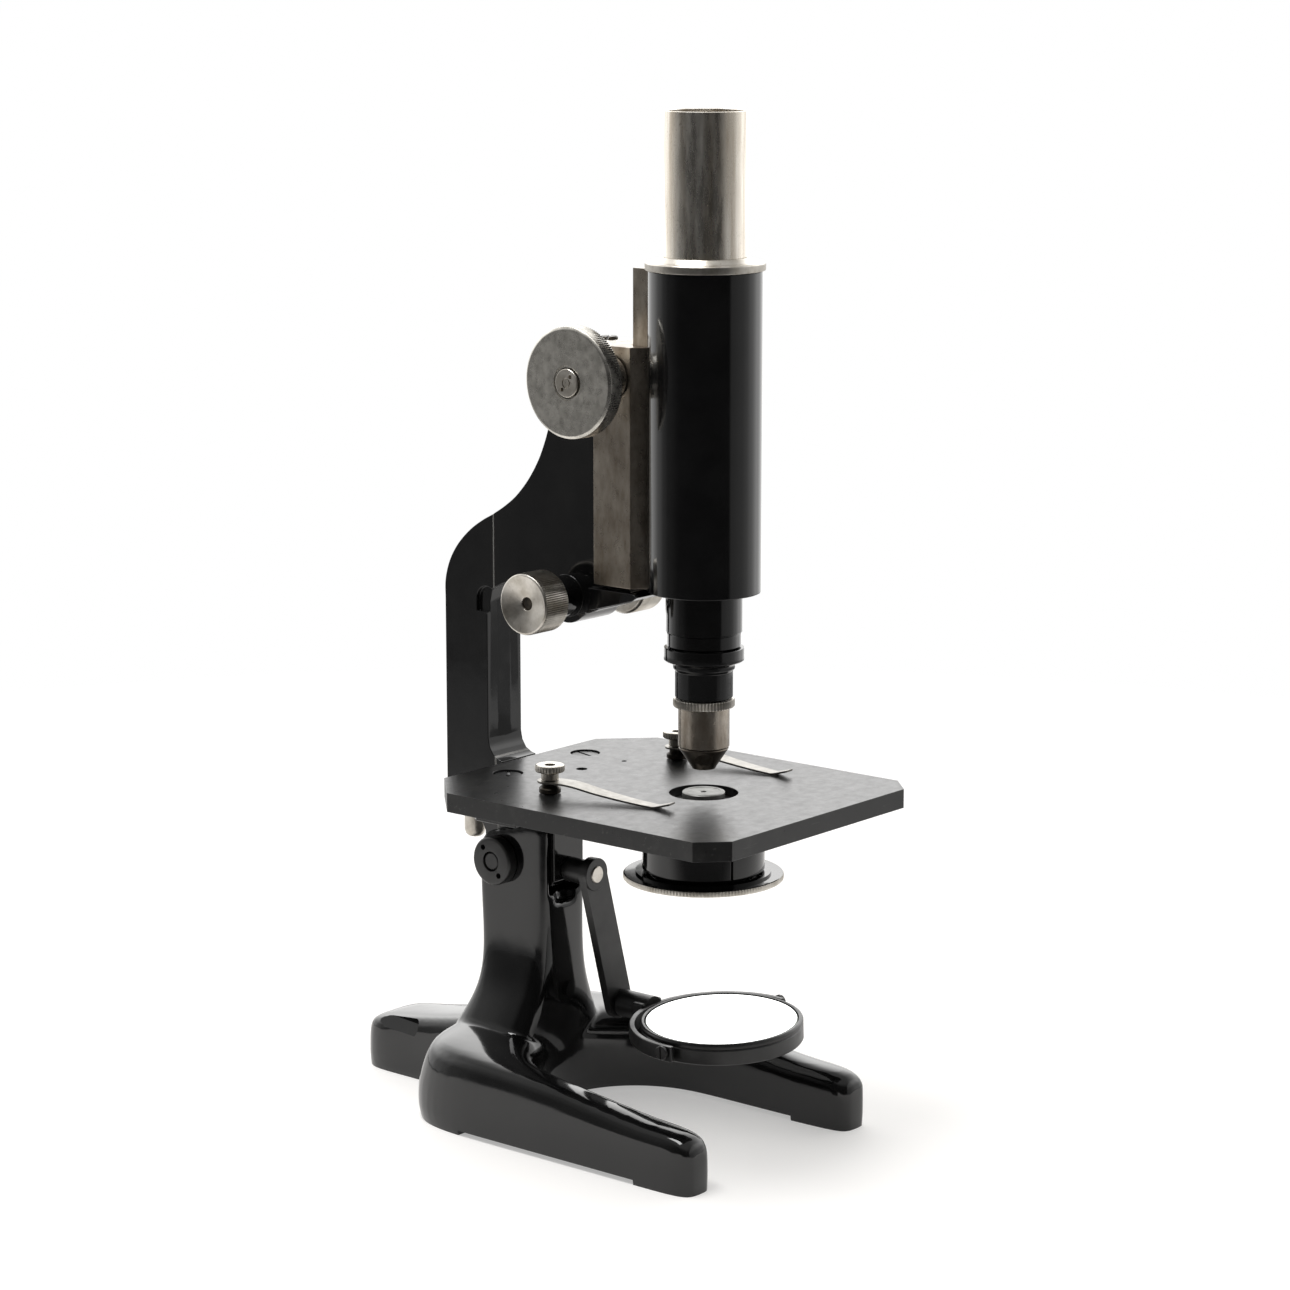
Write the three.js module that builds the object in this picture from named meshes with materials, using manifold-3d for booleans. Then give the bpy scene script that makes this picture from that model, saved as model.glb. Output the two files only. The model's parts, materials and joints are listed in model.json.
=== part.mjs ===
// Compound microscope on a horseshoe foot with an inclination joint, in millimetres.
// +Z is up, the front faces -Y and +X is to the right. Heights are above the table,
// and x and y are counted from the optical axis until the last group moves them.
import * as THREE from "three";
import { mergeVertices } from "three/addons/utils/BufferGeometryUtils.js";
import Module from "manifold-3d";

const wasm = await Module();
wasm.setup();

// Facets round a circle
const WIDE = 28;
const ROUND = 20;
const SMALL = 16;
const PIN = 10;

// Overall
const OPTIC_Y = -46; // where the optical axis stands in the part's own frame
const GAP = 0.1; // running clearance between a shaft and its hole
const SEAT = 0.3; // gap between pieces that rest on each other

// Foot
const LEG_INNER = 32.5;
const LEG_OUTER = 46.5;
const ARCH_Y = 26;
const ARCH_R = 32;
const TOE_Y = -31;
const HEEL_Y = 91;
const WALL_H = 17;
const SPUR_Y = 137;
const SPUR_HALF = 13.5;
const PILLAR_HALF = 10.4;
const PILLAR_FRONT = 56.3;
const PILLAR_REAR = 85.3;

// Inclination joint
const HINGE_Y = 75.6;
const HINGE_Z = 80.4;
const CHEEK_TOP = 94;
const TONGUE_R = 8.8;
const TONGUE_HALF = 7;
const SLOT_HALF = 7.4;
const SLOT_FLOOR = 70.6;
const AXLE_R = 4;
const AXLE_TIP_R = 3.1;
const AXLE_END = 14.1;

// Stage
const STAGE_TOP = 112;
const STAGE_T = 6;
const UNDER_STAGE = STAGE_TOP - STAGE_T - SEAT;
const STAGE_HALF = 51.1;
const STAGE_FRONT = -45;
const STAGE_REAR = 74.8;
const STAGE_HOLE_R = 10.7;
const STAGE_SCREW_X = 18.7;
const STAGE_SCREW_Y = 64;

// Limb and focusing head
const LIMB_HALF = 8;
const LIMB_FRONT = 82;
const LIMB_REAR = 100;
const LIMB_NOSE = 55;
const SEAM_Y = 79;
const HEAD_FRONT = 35.3;
const HEAD_TOP = 242;

// Bearing block and the slide on the tube
const BLOCK_HALF = 11;
const BLOCK_BOTTOM = 174.7;
const BLOCK_TOP = 248.8;
const SLIDE_HALF = 6;
const SLIDE_TOP = 272.4;

// Focusing knobs
const COARSE_Y = 28.1;
const COARSE_Z = 239.3;
const COARSE_R = 17;
const COARSE_FACE = 31;
const FINE_Y = 48.1;
const FINE_Z = 169.2;
const FINE_R = 9.6;
const FINE_FACE = 29;

// Tube and objective
const TUBE_R = 17.4;
const TUBE_BORE = 15.8;
const TUBE_BOTTOM = 175;
const TUBE_TOP = 272.4;
const DRAW_R = 12.5;
const DRAW_BORE = 11.6;
const DRAW_TOP = 320;
const DRAW_BOTTOM = 222;

// Substage
const SLEEVE_R = 19;
const DISC_R = 24.9;
const DISC_TOP = 86.9;

// Mirror
const BRACKET_Z = 78.6;
const ARM_FRONT = 43.2;
const ARM_HALF = 5.2;
const STEM_DROP = 46.7;
const ARM_SWING = 15.5; // degrees that the arm leans towards +X
const MIRROR_X = 12.5;
const MIRROR_Y = 2.4;
const MIRROR_Z = 33.5;
const MIRROR_ROLL = 2.6; // degrees that the fork has turned on its stem
const RING_R = 25.8;
const FORK_R = 29.2;

// ---------- materials ----------
function material(color, roughness, metalness) {
  return new THREE.MeshStandardMaterial({ color, roughness, metalness });
}
const enamel = () => material(0x0b0b0c, 0.18, 0.0);
const satinBlack = () => material(0x1a1a1b, 0.5, 0.2);
const blackened = () => material(0x242322, 0.42, 0.6);
const nickel = () => material(0xb8b2a8, 0.3, 1.0);
const warmNickel = () => material(0xa8997e, 0.32, 1.0);
const steel = () => material(0xc9c7c1, 0.22, 1.0);
const mirrorGlass = () => material(0xeef1f2, 0.03, 1.0);
const lensGlass = () => material(0xcfdadb, 0.05, 0.0);

// ---------- solids ----------
function solid(geometry) {
  const bare = geometry.clone();
  bare.deleteAttribute("normal");
  bare.deleteAttribute("uv");
  const merged = mergeVertices(bare, 1e-4);
  return new wasm.Manifold(
    new wasm.Mesh({
      numProp: 3,
      vertProperties: merged.attributes.position.array,
      triVerts: new Uint32Array(merged.index.array),
    }),
  );
}

function geometryOf(manifold) {
  const made = manifold.getMesh();
  const geometry = new THREE.BufferGeometry();
  geometry.setAttribute("position", new THREE.BufferAttribute(made.vertProperties, 3));
  geometry.setIndex(new THREE.BufferAttribute(made.triVerts, 1));
  return geometry;
}

function joined(first, ...rest) {
  return rest.reduce((sum, piece) => sum.add(piece), first);
}

function cutFrom(first, ...tools) {
  return tools.reduce((left, tool) => left.subtract(tool), first);
}

// A closed ring profile of [radius, height] pairs turned about the vertical axis.
function turned(profile, segments = ROUND) {
  const points = profile.map(([r, z]) => new THREE.Vector2(r, z));
  if (THREE.ShapeUtils.isClockWise(points)) points.reverse();
  points.push(points[0].clone());
  const lathe = new THREE.LatheGeometry(points, segments);
  lathe.rotateX(Math.PI / 2);
  return solid(lathe);
}

// A solid of revolution whose profile runs from the axis back to the axis.
function turnedSolid(profile, segments = ROUND) {
  const points = profile.map(([r, z]) => new THREE.Vector2(r, z));
  if (THREE.ShapeUtils.isClockWise(points)) points.reverse();
  const start = points.findIndex((p, i) => {
    const before = points[(i + points.length - 1) % points.length];
    return p.x === 0 && before.x === 0;
  });
  const ordered = [...points.slice(start), ...points.slice(0, start)];
  const lathe = new THREE.LatheGeometry(ordered, segments);
  lathe.rotateX(Math.PI / 2);
  return solid(lathe);
}

function rod(radius, from, to, segments = ROUND) {
  return turnedSolid(
    [
      [0, from],
      [radius, from],
      [radius, to],
      [0, to],
    ],
    segments,
  );
}

function box(x0, x1, y0, y1, z0, z1) {
  const block = new THREE.BoxGeometry(x1 - x0, y1 - y0, z1 - z0);
  block.translate((x0 + x1) / 2, (y0 + y1) / 2, (z0 + z1) / 2);
  return solid(block);
}

function shapeOf(points) {
  return new THREE.Shape(points.map(([x, y]) => new THREE.Vector2(x, y)));
}

// An outline in plan, raised from z0 to z1.
function planPlate(points, z0, z1) {
  const plate = new THREE.ExtrudeGeometry(shapeOf(points), {
    depth: z1 - z0,
    bevelEnabled: false,
    curveSegments: 8,
  });
  plate.translate(0, 0, z0);
  return solid(plate);
}

// A side outline of [y, z] pairs, spread from x0 to x1.
function sidePlate(points, x0, x1) {
  const plate = new THREE.ExtrudeGeometry(shapeOf(points), {
    depth: x1 - x0,
    bevelEnabled: false,
  });
  const turn = new THREE.Matrix4().makeBasis(
    new THREE.Vector3(0, 1, 0),
    new THREE.Vector3(0, 0, 1),
    new THREE.Vector3(1, 0, 0),
  );
  plate.applyMatrix4(turn);
  plate.translate(x0, 0, 0);
  return solid(plate);
}

// A skin over a row of convex sections with the same number of points.
function loft(sections) {
  const count = sections[0].length;
  const position = [];
  const index = [];
  sections.forEach((section) => section.forEach((p) => position.push(p.x, p.y, p.z)));
  for (let s = 0; s + 1 < sections.length; s += 1) {
    for (let i = 0; i < count; i += 1) {
      const a = s * count + i;
      const b = s * count + ((i + 1) % count);
      index.push(a, b, b + count, a, b + count, a + count);
    }
  }
  [0, sections.length - 1].forEach((s) => {
    const centre = new THREE.Vector3();
    sections[s].forEach((p) => centre.add(p));
    centre.divideScalar(count);
    const hub = position.length / 3;
    position.push(centre.x, centre.y, centre.z);
    for (let i = 0; i < count; i += 1) {
      const a = s * count + i;
      const b = s * count + ((i + 1) % count);
      if (s === 0) index.push(hub, b, a);
      else index.push(hub, a, b);
    }
  });
  const skin = new THREE.BufferGeometry();
  skin.setAttribute("position", new THREE.Float32BufferAttribute(position, 3));
  skin.setIndex(index);
  const made = solid(skin);
  if (made.volume() > 0) return made;
  for (let i = 0; i < index.length; i += 3) {
    [index[i + 1], index[i + 2]] = [index[i + 2], index[i + 1]];
  }
  skin.setIndex(index);
  return solid(skin);
}

// Turns and moves that carry a piece made about the vertical axis to its place.
const alongX = (manifold) => manifold.rotate([0, 90, 0]);
const alongY = (manifold) => manifold.rotate([-90, 0, 0]);
const mirrored = (manifold) => manifold.mirror([1, 0, 0]);

function arc(cx, cy, r, fromDeg, toDeg, steps) {
  return Array.from({ length: steps + 1 }, (_, i) => {
    const t = ((fromDeg + ((toDeg - fromDeg) * i) / steps) * Math.PI) / 180;
    return [cx + r * Math.cos(t), cy + r * Math.sin(t)];
  });
}

// ---------- the exported group ----------
const instrument = new THREE.Group();
instrument.position.y = OPTIC_Y;

function piece(name, manifold, look) {
  const mesh = new THREE.Mesh(geometryOf(manifold), look);
  mesh.name = name;
  instrument.add(mesh);
  return mesh;
}

// ---------- foot ----------
// Half of the leg's upright section: a vertical outer wall, a rounded crown and an inner wall.
function legSection(outer, inner, crown) {
  const dx = inner[0] - outer[0];
  const dy = inner[1] - outer[1];
  const rounding = [
    [0, 0],
    [0, WALL_H * 0.55],
    [0.02, WALL_H * 0.82],
    [0.1, crown * 0.9],
    [0.26, crown * 0.98],
    [0.5, crown],
    [0.74, crown * 0.98],
    [0.9, crown * 0.9],
    [0.98, crown * 0.78],
    [1, crown * 0.5],
    [1, 0],
  ];
  return rounding.map(([t, z]) => new THREE.Vector3(outer[0] + dx * t, outer[1] + dy * t, z));
}

function horseshoe() {
  const left = [];
  left.push({ outer: [-43.5, TOE_Y], inner: [-35.5, TOE_Y], crown: 13 });
  left.push({ outer: [-45.5, TOE_Y + 2.5], inner: [-33.6, TOE_Y + 2.5], crown: 16.5 });
  left.push({ outer: [-LEG_OUTER, TOE_Y + 7], inner: [-LEG_INNER, TOE_Y + 7], crown: 18.4 });
  [0, 13, 26].forEach((y) => {
    left.push({ outer: [-LEG_OUTER, y], inner: [-ARCH_R, y], crown: 20.3 + y * 0.12 });
  });
  const outline = [
    [-LEG_OUTER, 50],
    [-LEG_OUTER, 70],
    [-42.5, 84.5],
    [-31, HEEL_Y],
    [-15, HEEL_Y + 1],
  ];
  outline.forEach((outer, i) => {
    const t = ((180 - (i + 1) * 15) * Math.PI) / 180;
    const inner = [ARCH_R * Math.cos(t), ARCH_Y + ARCH_R * Math.sin(t)];
    left.push({ outer, inner, crown: 24.5 + i * 0.9 });
  });
  const middle = { outer: [0, HEEL_Y + 2], inner: [0, ARCH_Y + ARCH_R], crown: 29 };
  const flip = ({ outer, inner, crown }) => ({
    outer: [-outer[0], outer[1]],
    inner: [-inner[0], inner[1]],
    crown,
  });
  const stations = [...left, middle, ...left.map(flip).reverse()];
  return loft(stations.map((s) => legSection(s.outer, s.inner, s.crown)));
}

function spur() {
  const rows = [
    [80, 15.5, 27],
    [100, 14.5, 23.5],
    [112, SPUR_HALF, 21],
    [126, SPUR_HALF, 18.8],
    [132, 12, 17.6],
    [135.8, 8.5, 15],
    [SPUR_Y, 5.5, 12.5],
  ];
  const sections = rows.map(([y, half, top]) => {
    const side = [
      [-1, 0],
      [-1, 0.6],
      [-0.94, 0.84],
      [-0.78, 0.97],
      [-0.4, 1],
    ];
    const right = side.map(([x, z]) => [-x, z]).reverse();
    return [...side, ...right].map(([x, z]) => new THREE.Vector3(x * half, y, z * top));
  });
  return loft(sections);
}

// The pillar's plan is a rounded rectangle that spreads as it goes down into the foot.
function pillarSection(z, half, front, rear, round) {
  const corners = [
    [half - round, rear - round, 0],
    [-half + round, rear - round, 90],
    [-half + round, front + round, 180],
    [half - round, front + round, 270],
  ];
  return corners
    .flatMap(([x, y, from]) => arc(x, y, round, from, from + 90, 3))
    .map(([x, y]) => new THREE.Vector3(x, y, z));
}

function pillar() {
  const rows = [
    [1, 30, 58.2, 92, 10],
    [14, 29, 58.1, 92, 10],
    [20, 25.5, 57.6, 92, 9],
    [25, 22.2, 57, 90, 8],
    [31, 19.4, 56.6, 87, 7],
    [38, 17, 56.4, 84.2, 6],
    [46, 14.9, 56.4, 84.1, 5],
    [56, 12.8, 56.4, 84.5, 4],
    [66, 11, PILLAR_FRONT, 85.1, 3.4],
    [76, PILLAR_HALF, PILLAR_FRONT, PILLAR_REAR, 3],
    [CHEEK_TOP, PILLAR_HALF, PILLAR_FRONT, PILLAR_REAR, 3],
  ];
  return loft(rows.map((row) => pillarSection(...row)));
}

// What is cut away so that the top of the pillar is rounded off behind the hinge.
function cheekTopTool() {
  const outline = [
    [PILLAR_FRONT - 3, CHEEK_TOP + 4],
    [PILLAR_FRONT - 3, CHEEK_TOP - 3],
    [PILLAR_FRONT + 2, CHEEK_TOP - 0.6],
    [62, CHEEK_TOP - 0.4],
    ...arc(HINGE_Y, HINGE_Z, 9.6, 80, 0, 8),
    [PILLAR_REAR + 3, HINGE_Z],
    [PILLAR_REAR + 3, CHEEK_TOP + 4],
  ];
  return sidePlate(outline, -20, 20);
}

function footCasting() {
  const slot = sidePlate(
    [
      [PILLAR_FRONT - 6, SLOT_FLOOR],
      [PILLAR_REAR + 6, SLOT_FLOOR],
      [PILLAR_REAR + 6, CHEEK_TOP + 6],
      [PILLAR_FRONT - 6, CHEEK_TOP + 6],
    ],
    -SLOT_HALF,
    SLOT_HALF,
  );
  const armNotch = rod(5, 67.4, CHEEK_TOP, SMALL).translate([0, PILLAR_FRONT - 1.5, 0]);
  const axleHole = alongX(rod(AXLE_R + GAP, -30, 30, SMALL)).translate([0, HINGE_Y, HINGE_Z]);
  const relief = planPlate(
    [
      [-60, -10],
      [60, -10],
      [60, 62],
      [-60, 62],
    ],
    -5,
    1.6,
  );
  const heelRelief = planPlate(
    [
      [-9, 84],
      [9, 84],
      [9, 116],
      [-9, 116],
    ],
    -5,
    1.6,
  );
  const body = joined(horseshoe(), spur(), pillar());
  return cutFrom(body, slot, armNotch, axleHole, cheekTopTool(), relief, heelRelief);
}

function hingeNut() {
  const nut = turned([
    [AXLE_TIP_R + GAP, 0],
    [7.9, 0],
    [7.9, 2.8],
    [7.2, 3.7],
    [AXLE_TIP_R + GAP, 3.7],
  ]);
  const spanner = rod(0.9, 2, 6, PIN);
  return cutFrom(nut, spanner.translate([5.3, 0, 0]), spanner.translate([-5.3, 0, 0])).rotate([0, 0, 52]);
}

function hinge() {
  const axle = turnedSolid([
    [0, -AXLE_END],
    [AXLE_TIP_R, -AXLE_END],
    [AXLE_TIP_R, -PILLAR_HALF],
    [AXLE_R, -PILLAR_HALF],
    [AXLE_R, PILLAR_HALF],
    [AXLE_TIP_R, PILLAR_HALF],
    [AXLE_TIP_R, AXLE_END],
    [0, AXLE_END],
  ], SMALL);
  const place = [0, HINGE_Y, HINGE_Z];
  piece("hinge_axle", alongX(axle).translate(place), blackened());
  const right = alongX(hingeNut()).translate([PILLAR_HALF + SEAT, HINGE_Y, HINGE_Z]);
  piece("hinge_nut_right", right, satinBlack());
  piece("hinge_nut_left", mirrored(right), satinBlack());
}

piece("foot_casting", footCasting(), enamel());
hinge();

// ---------- limb, head and stage ----------
function limb() {
  const upright = [
    [LIMB_REAR - 1, 92.4],
    [LIMB_REAR, 94],
    [LIMB_REAR, 162],
    [99.9, 169.6],
    [97.9, 175.1],
    [94.2, 180.8],
    [89, 185.8],
    [83.8, 189.3],
    [SEAM_Y, 191.8],
    [SEAM_Y, 168.2],
    [81, 167],
    [LIMB_FRONT, 163],
    [LIMB_FRONT, 119],
    [81, 115],
    [78.5, 112.8],
    [75.8, 112],
    [75.8, UNDER_STAGE],
    [LIMB_NOSE, UNDER_STAGE],
    [LIMB_NOSE, 75.6],
    [LIMB_NOSE + 2.4, 73.6],
    ...arc(HINGE_Y, HINGE_Z, TONGUE_R, 215, 360, 10),
    [HINGE_Y + TONGUE_R, 88],
    [87, 92.4],
  ];
  const spine = sidePlate(upright, -TONGUE_HALF, TONGUE_HALF);
  const column = sidePlate(upright, -LIMB_HALF, LIMB_HALF).subtract(box(-30, 30, 40, 120, 60, 94.8));
  const platform = planPlate(
    [
      [-25, 55.4],
      [25, 55.4],
      [25, 72],
      [14, 86],
      [-14, 86],
      [-25, 72],
    ],
    96.5,
    UNDER_STAGE,
  );
  const axleHole = alongX(rod(AXLE_R + GAP, -30, 30, SMALL)).translate([0, HINGE_Y, HINGE_Z]);
  const screwHole = rod(2.1, 90, 120, PIN);
  const holes = [-1, 1].map((s) => screwHole.translate([s * STAGE_SCREW_X, STAGE_SCREW_Y, 0]));
  const stopHole = rod(1.6, 80, 100, PIN).translate([0, 95.2, 0]);
  return cutFrom(joined(spine, column, platform), axleHole, stopHole, ...holes);
}

function focusHead() {
  const outline = [
    [SEAM_Y - SEAT, 191.9],
    [73.7, 195],
    [68.7, 198.9],
    [63.7, 204.5],
    [59.7, 210.7],
    [57.2, 216.2],
    [55.5, 221],
    [53, 229],
    [51, HEAD_TOP],
    [HEAD_FRONT, HEAD_TOP],
    [HEAD_FRONT, 174],
    [HEAD_FRONT, 166.2],
    [40, 164.2],
    ...arc(FINE_Y, FINE_Z, 8.6, 220, 320, 8),
    [57.5, 168],
    [64, 170.5],
    [72, 171.2],
    [SEAM_Y - SEAT, 168.2],
  ];
  const body = sidePlate(outline, -LIMB_HALF - 0.4, LIMB_HALF + 0.4);
  const toe = sidePlate(
    [
      [HEAD_FRONT + 1, BLOCK_BOTTOM - 1.5],
      [19.6, BLOCK_BOTTOM - 1.5],
      [17.8, 172.2],
      [19.6, 171],
      [HEAD_FRONT + 1, 166.1],
    ],
    -BLOCK_HALF + 0.2,
    BLOCK_HALF - 0.2,
  );
  const boss = alongX(rod(6.6, -17.3, 17.3, ROUND)).translate([0, FINE_Y, FINE_Z]);
  const spindleHole = alongX(rod(2.5 + GAP, -30, 30, SMALL)).translate([0, FINE_Y, FINE_Z]);
  return cutFrom(joined(body, toe, boss), spindleHole);
}

function stagePlate() {
  const front = 8.2;
  const rear = 14.5;
  const h = STAGE_HALF;
  const outline = [
    [-h + front, STAGE_FRONT],
    [h - front, STAGE_FRONT],
    [h, STAGE_FRONT + front],
    [h, STAGE_REAR - rear],
    [h - rear, STAGE_REAR],
    [-h + rear, STAGE_REAR],
    [-h, STAGE_REAR - rear],
    [-h, STAGE_FRONT + front],
  ];
  const plate = planPlate(outline, STAGE_TOP - STAGE_T, STAGE_TOP);
  const hole = rod(STAGE_HOLE_R, 90, 130, ROUND);
  const sink = turnedSolid(
    [
      [0, 100],
      [2.4, 100],
      [2.4, 108.6],
      [4.8, 111],
      [4.8, 114],
      [0, 114],
    ],
    SMALL,
  );
  const sinks = [-1, 1].map((s) => sink.translate([s * STAGE_SCREW_X, STAGE_SCREW_Y, 0]));
  const clipHoles = [-1, 1].map((s) => rod(1.9, 107, 114, PIN).translate([s * 31, 35.7, 0]));
  const small = rod(0.85, 108, 114, PIN);
  const smallHoles = [-1, 1].map((s) => small.translate([s * 17.4, 46.5, 0]));
  const pinHole = rod(1.8, 108, 114, PIN).translate([0.4, 49.8, 0]);
  return cutFrom(plate, hole, ...sinks, ...clipHoles, ...smallHoles, pinHole);
}

function stageScrew() {
  const screw = turnedSolid(
    [
      [0, 98],
      [1.9, 98],
      [1.9, 108.4],
      [4.4, 111],
      [4.4, 111.5],
      [0, 111.5],
    ],
    SMALL,
  );
  return screw.subtract(box(-6, 6, -0.5, 0.5, 110.6, 113));
}

piece("limb", limb(), enamel());
piece("focus_head", focusHead(), enamel());
piece("stage_plate", stagePlate(), satinBlack());
const screw = stageScrew();
piece(
  "stage_screw_left",
  screw.rotate([0, 0, 40]).translate([-STAGE_SCREW_X, STAGE_SCREW_Y, 0]),
  satinBlack(),
);
piece(
  "stage_screw_right",
  screw.rotate([0, 0, 75]).translate([STAGE_SCREW_X, STAGE_SCREW_Y, 0]),
  satinBlack(),
);

function stopScrew() {
  return turnedSolid(
    [
      [0, 83],
      [1.6, 83.2],
      [2.9, 84.2],
      [3.5, 85.8],
      [3.5, 91.6],
      [1.4, 91.6],
      [1.4, 99],
      [0, 99],
    ],
    SMALL,
  ).translate([0, 95.2, 0]);
}
piece("stop_screw", stopScrew(), nickel());

// ---------- substage ----------
function substageSleeve() {
  const tube = turned([
    [16.4, 88.2],
    [SLEEVE_R, 88.2],
    [SLEEVE_R, 103.5],
    [21, 104.2],
    [21, UNDER_STAGE],
    [16.4, UNDER_STAGE],
  ]);
  const slit = box(-0.6, 0.6, -30, -10, 80, 102).rotate([0, 0, -24]);
  return tube.subtract(slit);
}

function carrier() {
  const tube = turned([
    [15, DISC_TOP + 0.4],
    [16.1, DISC_TOP + 0.4],
    [16.1, 103],
    [6.3, 104.4],
    [6.3, 109.8],
    [5.3, 109.8],
    [5.3, 103.4],
    [15, 101.8],
  ]);
  return tube;
}

function carrierDisc() {
  return turned([
    [16.6, DISC_TOP - 1.9],
    [DISC_R - 0.4, DISC_TOP - 1.9],
    [DISC_R, DISC_TOP - 1.6],
    [DISC_R, DISC_TOP - 0.3],
    [DISC_R - 0.4, DISC_TOP],
    [21, DISC_TOP],
    [21, DISC_TOP + 0.7],
    [16.6, DISC_TOP + 0.7],
  ]);
}

function diaphragmCap() {
  return turned(
    [
      [0.9, 110.1],
      [6.6, 110.1],
      [6.6, 112.2],
      [6.2, 112.5],
      [0.9, 112.5],
    ],
    ROUND,
  );
}
piece("substage_sleeve", substageSleeve(), satinBlack());
piece("diaphragm_tube", carrier(), satinBlack());
piece("diaphragm_disc", carrierDisc(), nickel());
piece("diaphragm_cap", diaphragmCap(), satinBlack());

// ---------- focusing slide and knobs ----------
function bearingBlock() {
  const outline = [
    [-BLOCK_HALF, 34.9],
    [-BLOCK_HALF, 20.2],
    [-7.1, 16.3],
    [-SLIDE_HALF - 0.4, 16.3],
    [-SLIDE_HALF - 0.4, 23.6],
    [-3.2, 23.6],
    [-3.2, 26.6],
    [3.2, 26.6],
    [3.2, 23.6],
    [SLIDE_HALF + 0.4, 23.6],
    [SLIDE_HALF + 0.4, 16.3],
    [7.1, 16.3],
    [BLOCK_HALF, 20.2],
    [BLOCK_HALF, 34.9],
  ];
  const block = planPlate(outline, BLOCK_BOTTOM, BLOCK_TOP);
  const bore = alongX(rod(3.6, -30, 30, SMALL)).translate([0, COARSE_Y, COARSE_Z]);
  return block.subtract(bore);
}

function headCap() {
  const cap = box(-8.4, 8.4, HEAD_FRONT, 50.5, 245.2, BLOCK_TOP - 0.1);
  const recess = rod(3.2, 247.6, 252, SMALL).translate([5, 42, 0]);
  return cap.subtract(recess);
}

function headCapScrew() {
  return rod(2.8, 247.9, 249.6, SMALL)
    .subtract(box(-5, 5, -0.4, 0.4, 249, 251))
    .rotate([0, 0, 30])
    .translate([5, 42, 0]);
}

function coarseKnob() {
  const inner = COARSE_FACE - 6.5;
  const body = turned([
    [3 + GAP, 11.6],
    [7, 11.6],
    [7, inner - 1],
    [COARSE_R - 1, inner],
    [COARSE_R, inner + 0.8],
    [COARSE_R, COARSE_FACE - 1],
    [COARSE_R - 0.9, COARSE_FACE - 0.1],
    [4.7, COARSE_FACE],
    [4.7, COARSE_FACE - 1.2],
    [3 + GAP, COARSE_FACE - 1.2],
  ], WIDE);
  return body;
}

function coarseNut() {
  const nut = turnedSolid(
    [
      [0, COARSE_FACE - 0.9],
      [4.35, COARSE_FACE - 0.9],
      [4.35, COARSE_FACE + 0.3],
      [4, COARSE_FACE + 0.5],
      [0, COARSE_FACE + 0.5],
    ],
    SMALL,
  );
  const spanner = rod(0.6, COARSE_FACE, COARSE_FACE + 3, PIN);
  return cutFrom(nut, spanner.translate([2.5, 0, 0]), spanner.translate([-2.5, 0, 0])).rotate([0, 0, 55]);
}

function coarsePinion() {
  return turnedSolid(
    [
      [0, -29.4],
      [3, -29.4],
      [3, -4],
      [2.6, -3.8],
      [2.6, 3.8],
      [3, 4],
      [3, 29.4],
      [0, 29.4],
    ],
    SMALL,
  );
}

function fineKnob() {
  const inner = FINE_FACE - 11.2;
  return turned(
    [
      [2.5 + GAP, inner],
      [FINE_R - 0.5, inner],
      [FINE_R, inner + 0.5],
      [FINE_R, FINE_FACE - 0.5],
      [FINE_R - 0.6, FINE_FACE],
      [3.2, FINE_FACE - 2],
      [2.5 + GAP, FINE_FACE - 2],
    ],
    ROUND,
  );
}

function knobPair(name, knob, y, z, look) {
  const right = alongX(knob).translate([0, y, z]);
  piece(name + "_right", right, look());
  piece(name + "_left", mirrored(right), look());
}

piece("bearing_block", bearingBlock(), warmNickel());
piece("head_cap", headCap(), nickel());
piece("head_cap_screw", headCapScrew(), blackened());
piece("coarse_pinion", alongX(coarsePinion()).translate([0, COARSE_Y, COARSE_Z]), steel());
knobPair("coarse_knob", coarseKnob(), COARSE_Y, COARSE_Z, nickel);
knobPair("coarse_nut", coarseNut(), COARSE_Y, COARSE_Z, nickel);
piece(
  "fine_spindle",
  alongX(rod(2.5, -26.6, 26.6, SMALL)).translate([0, FINE_Y, FINE_Z]),
  steel(),
);
knobPair("fine_knob", fineKnob(), FINE_Y, FINE_Z, nickel);

// ---------- tube ----------
function slideBar() {
  const bar = box(-SLIDE_HALF, SLIDE_HALF, 15, 23.2, 180, SLIDE_TOP);
  return bar.subtract(rod(TUBE_R + SEAT, 170, 290, WIDE));
}

function bodyTube() {
  return turned(
    [
      [TUBE_BORE, TUBE_BOTTOM + 0.4],
      [TUBE_R - 0.5, TUBE_BOTTOM],
      [TUBE_R, TUBE_BOTTOM + 0.5],
      [TUBE_R, TUBE_TOP],
      [TUBE_BORE, TUBE_TOP],
    ],
    WIDE,
  );
}

function topCollar() {
  return turned(
    [
      [DRAW_R + GAP, TUBE_TOP + SEAT],
      [18.2, TUBE_TOP + SEAT],
      [18.2, 274.8],
      [17.6, 275.2],
      [14.6, 275.2],
      [13.4, 276.6],
      [DRAW_R + GAP, 276.6],
    ],
    WIDE,
  );
}

function guideSleeve() {
  return turned(
    [
      [DRAW_R + GAP, 232],
      [TUBE_BORE - SEAT, 232],
      [TUBE_BORE - SEAT, TUBE_TOP - 0.2],
      [DRAW_R + GAP, TUBE_TOP - 0.2],
    ],
    WIDE,
  );
}

function noseTube() {
  return turned(
    [
      [9.8, 158.2],
      [11.4, 158.2],
      [11.4, 162.3],
      [11.8, 162.7],
      [11.8, 176],
      [TUBE_BORE - SEAT, 176],
      [TUBE_BORE - SEAT, 184],
      [9.8, 184],
    ],
    ROUND,
  );
}

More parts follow.
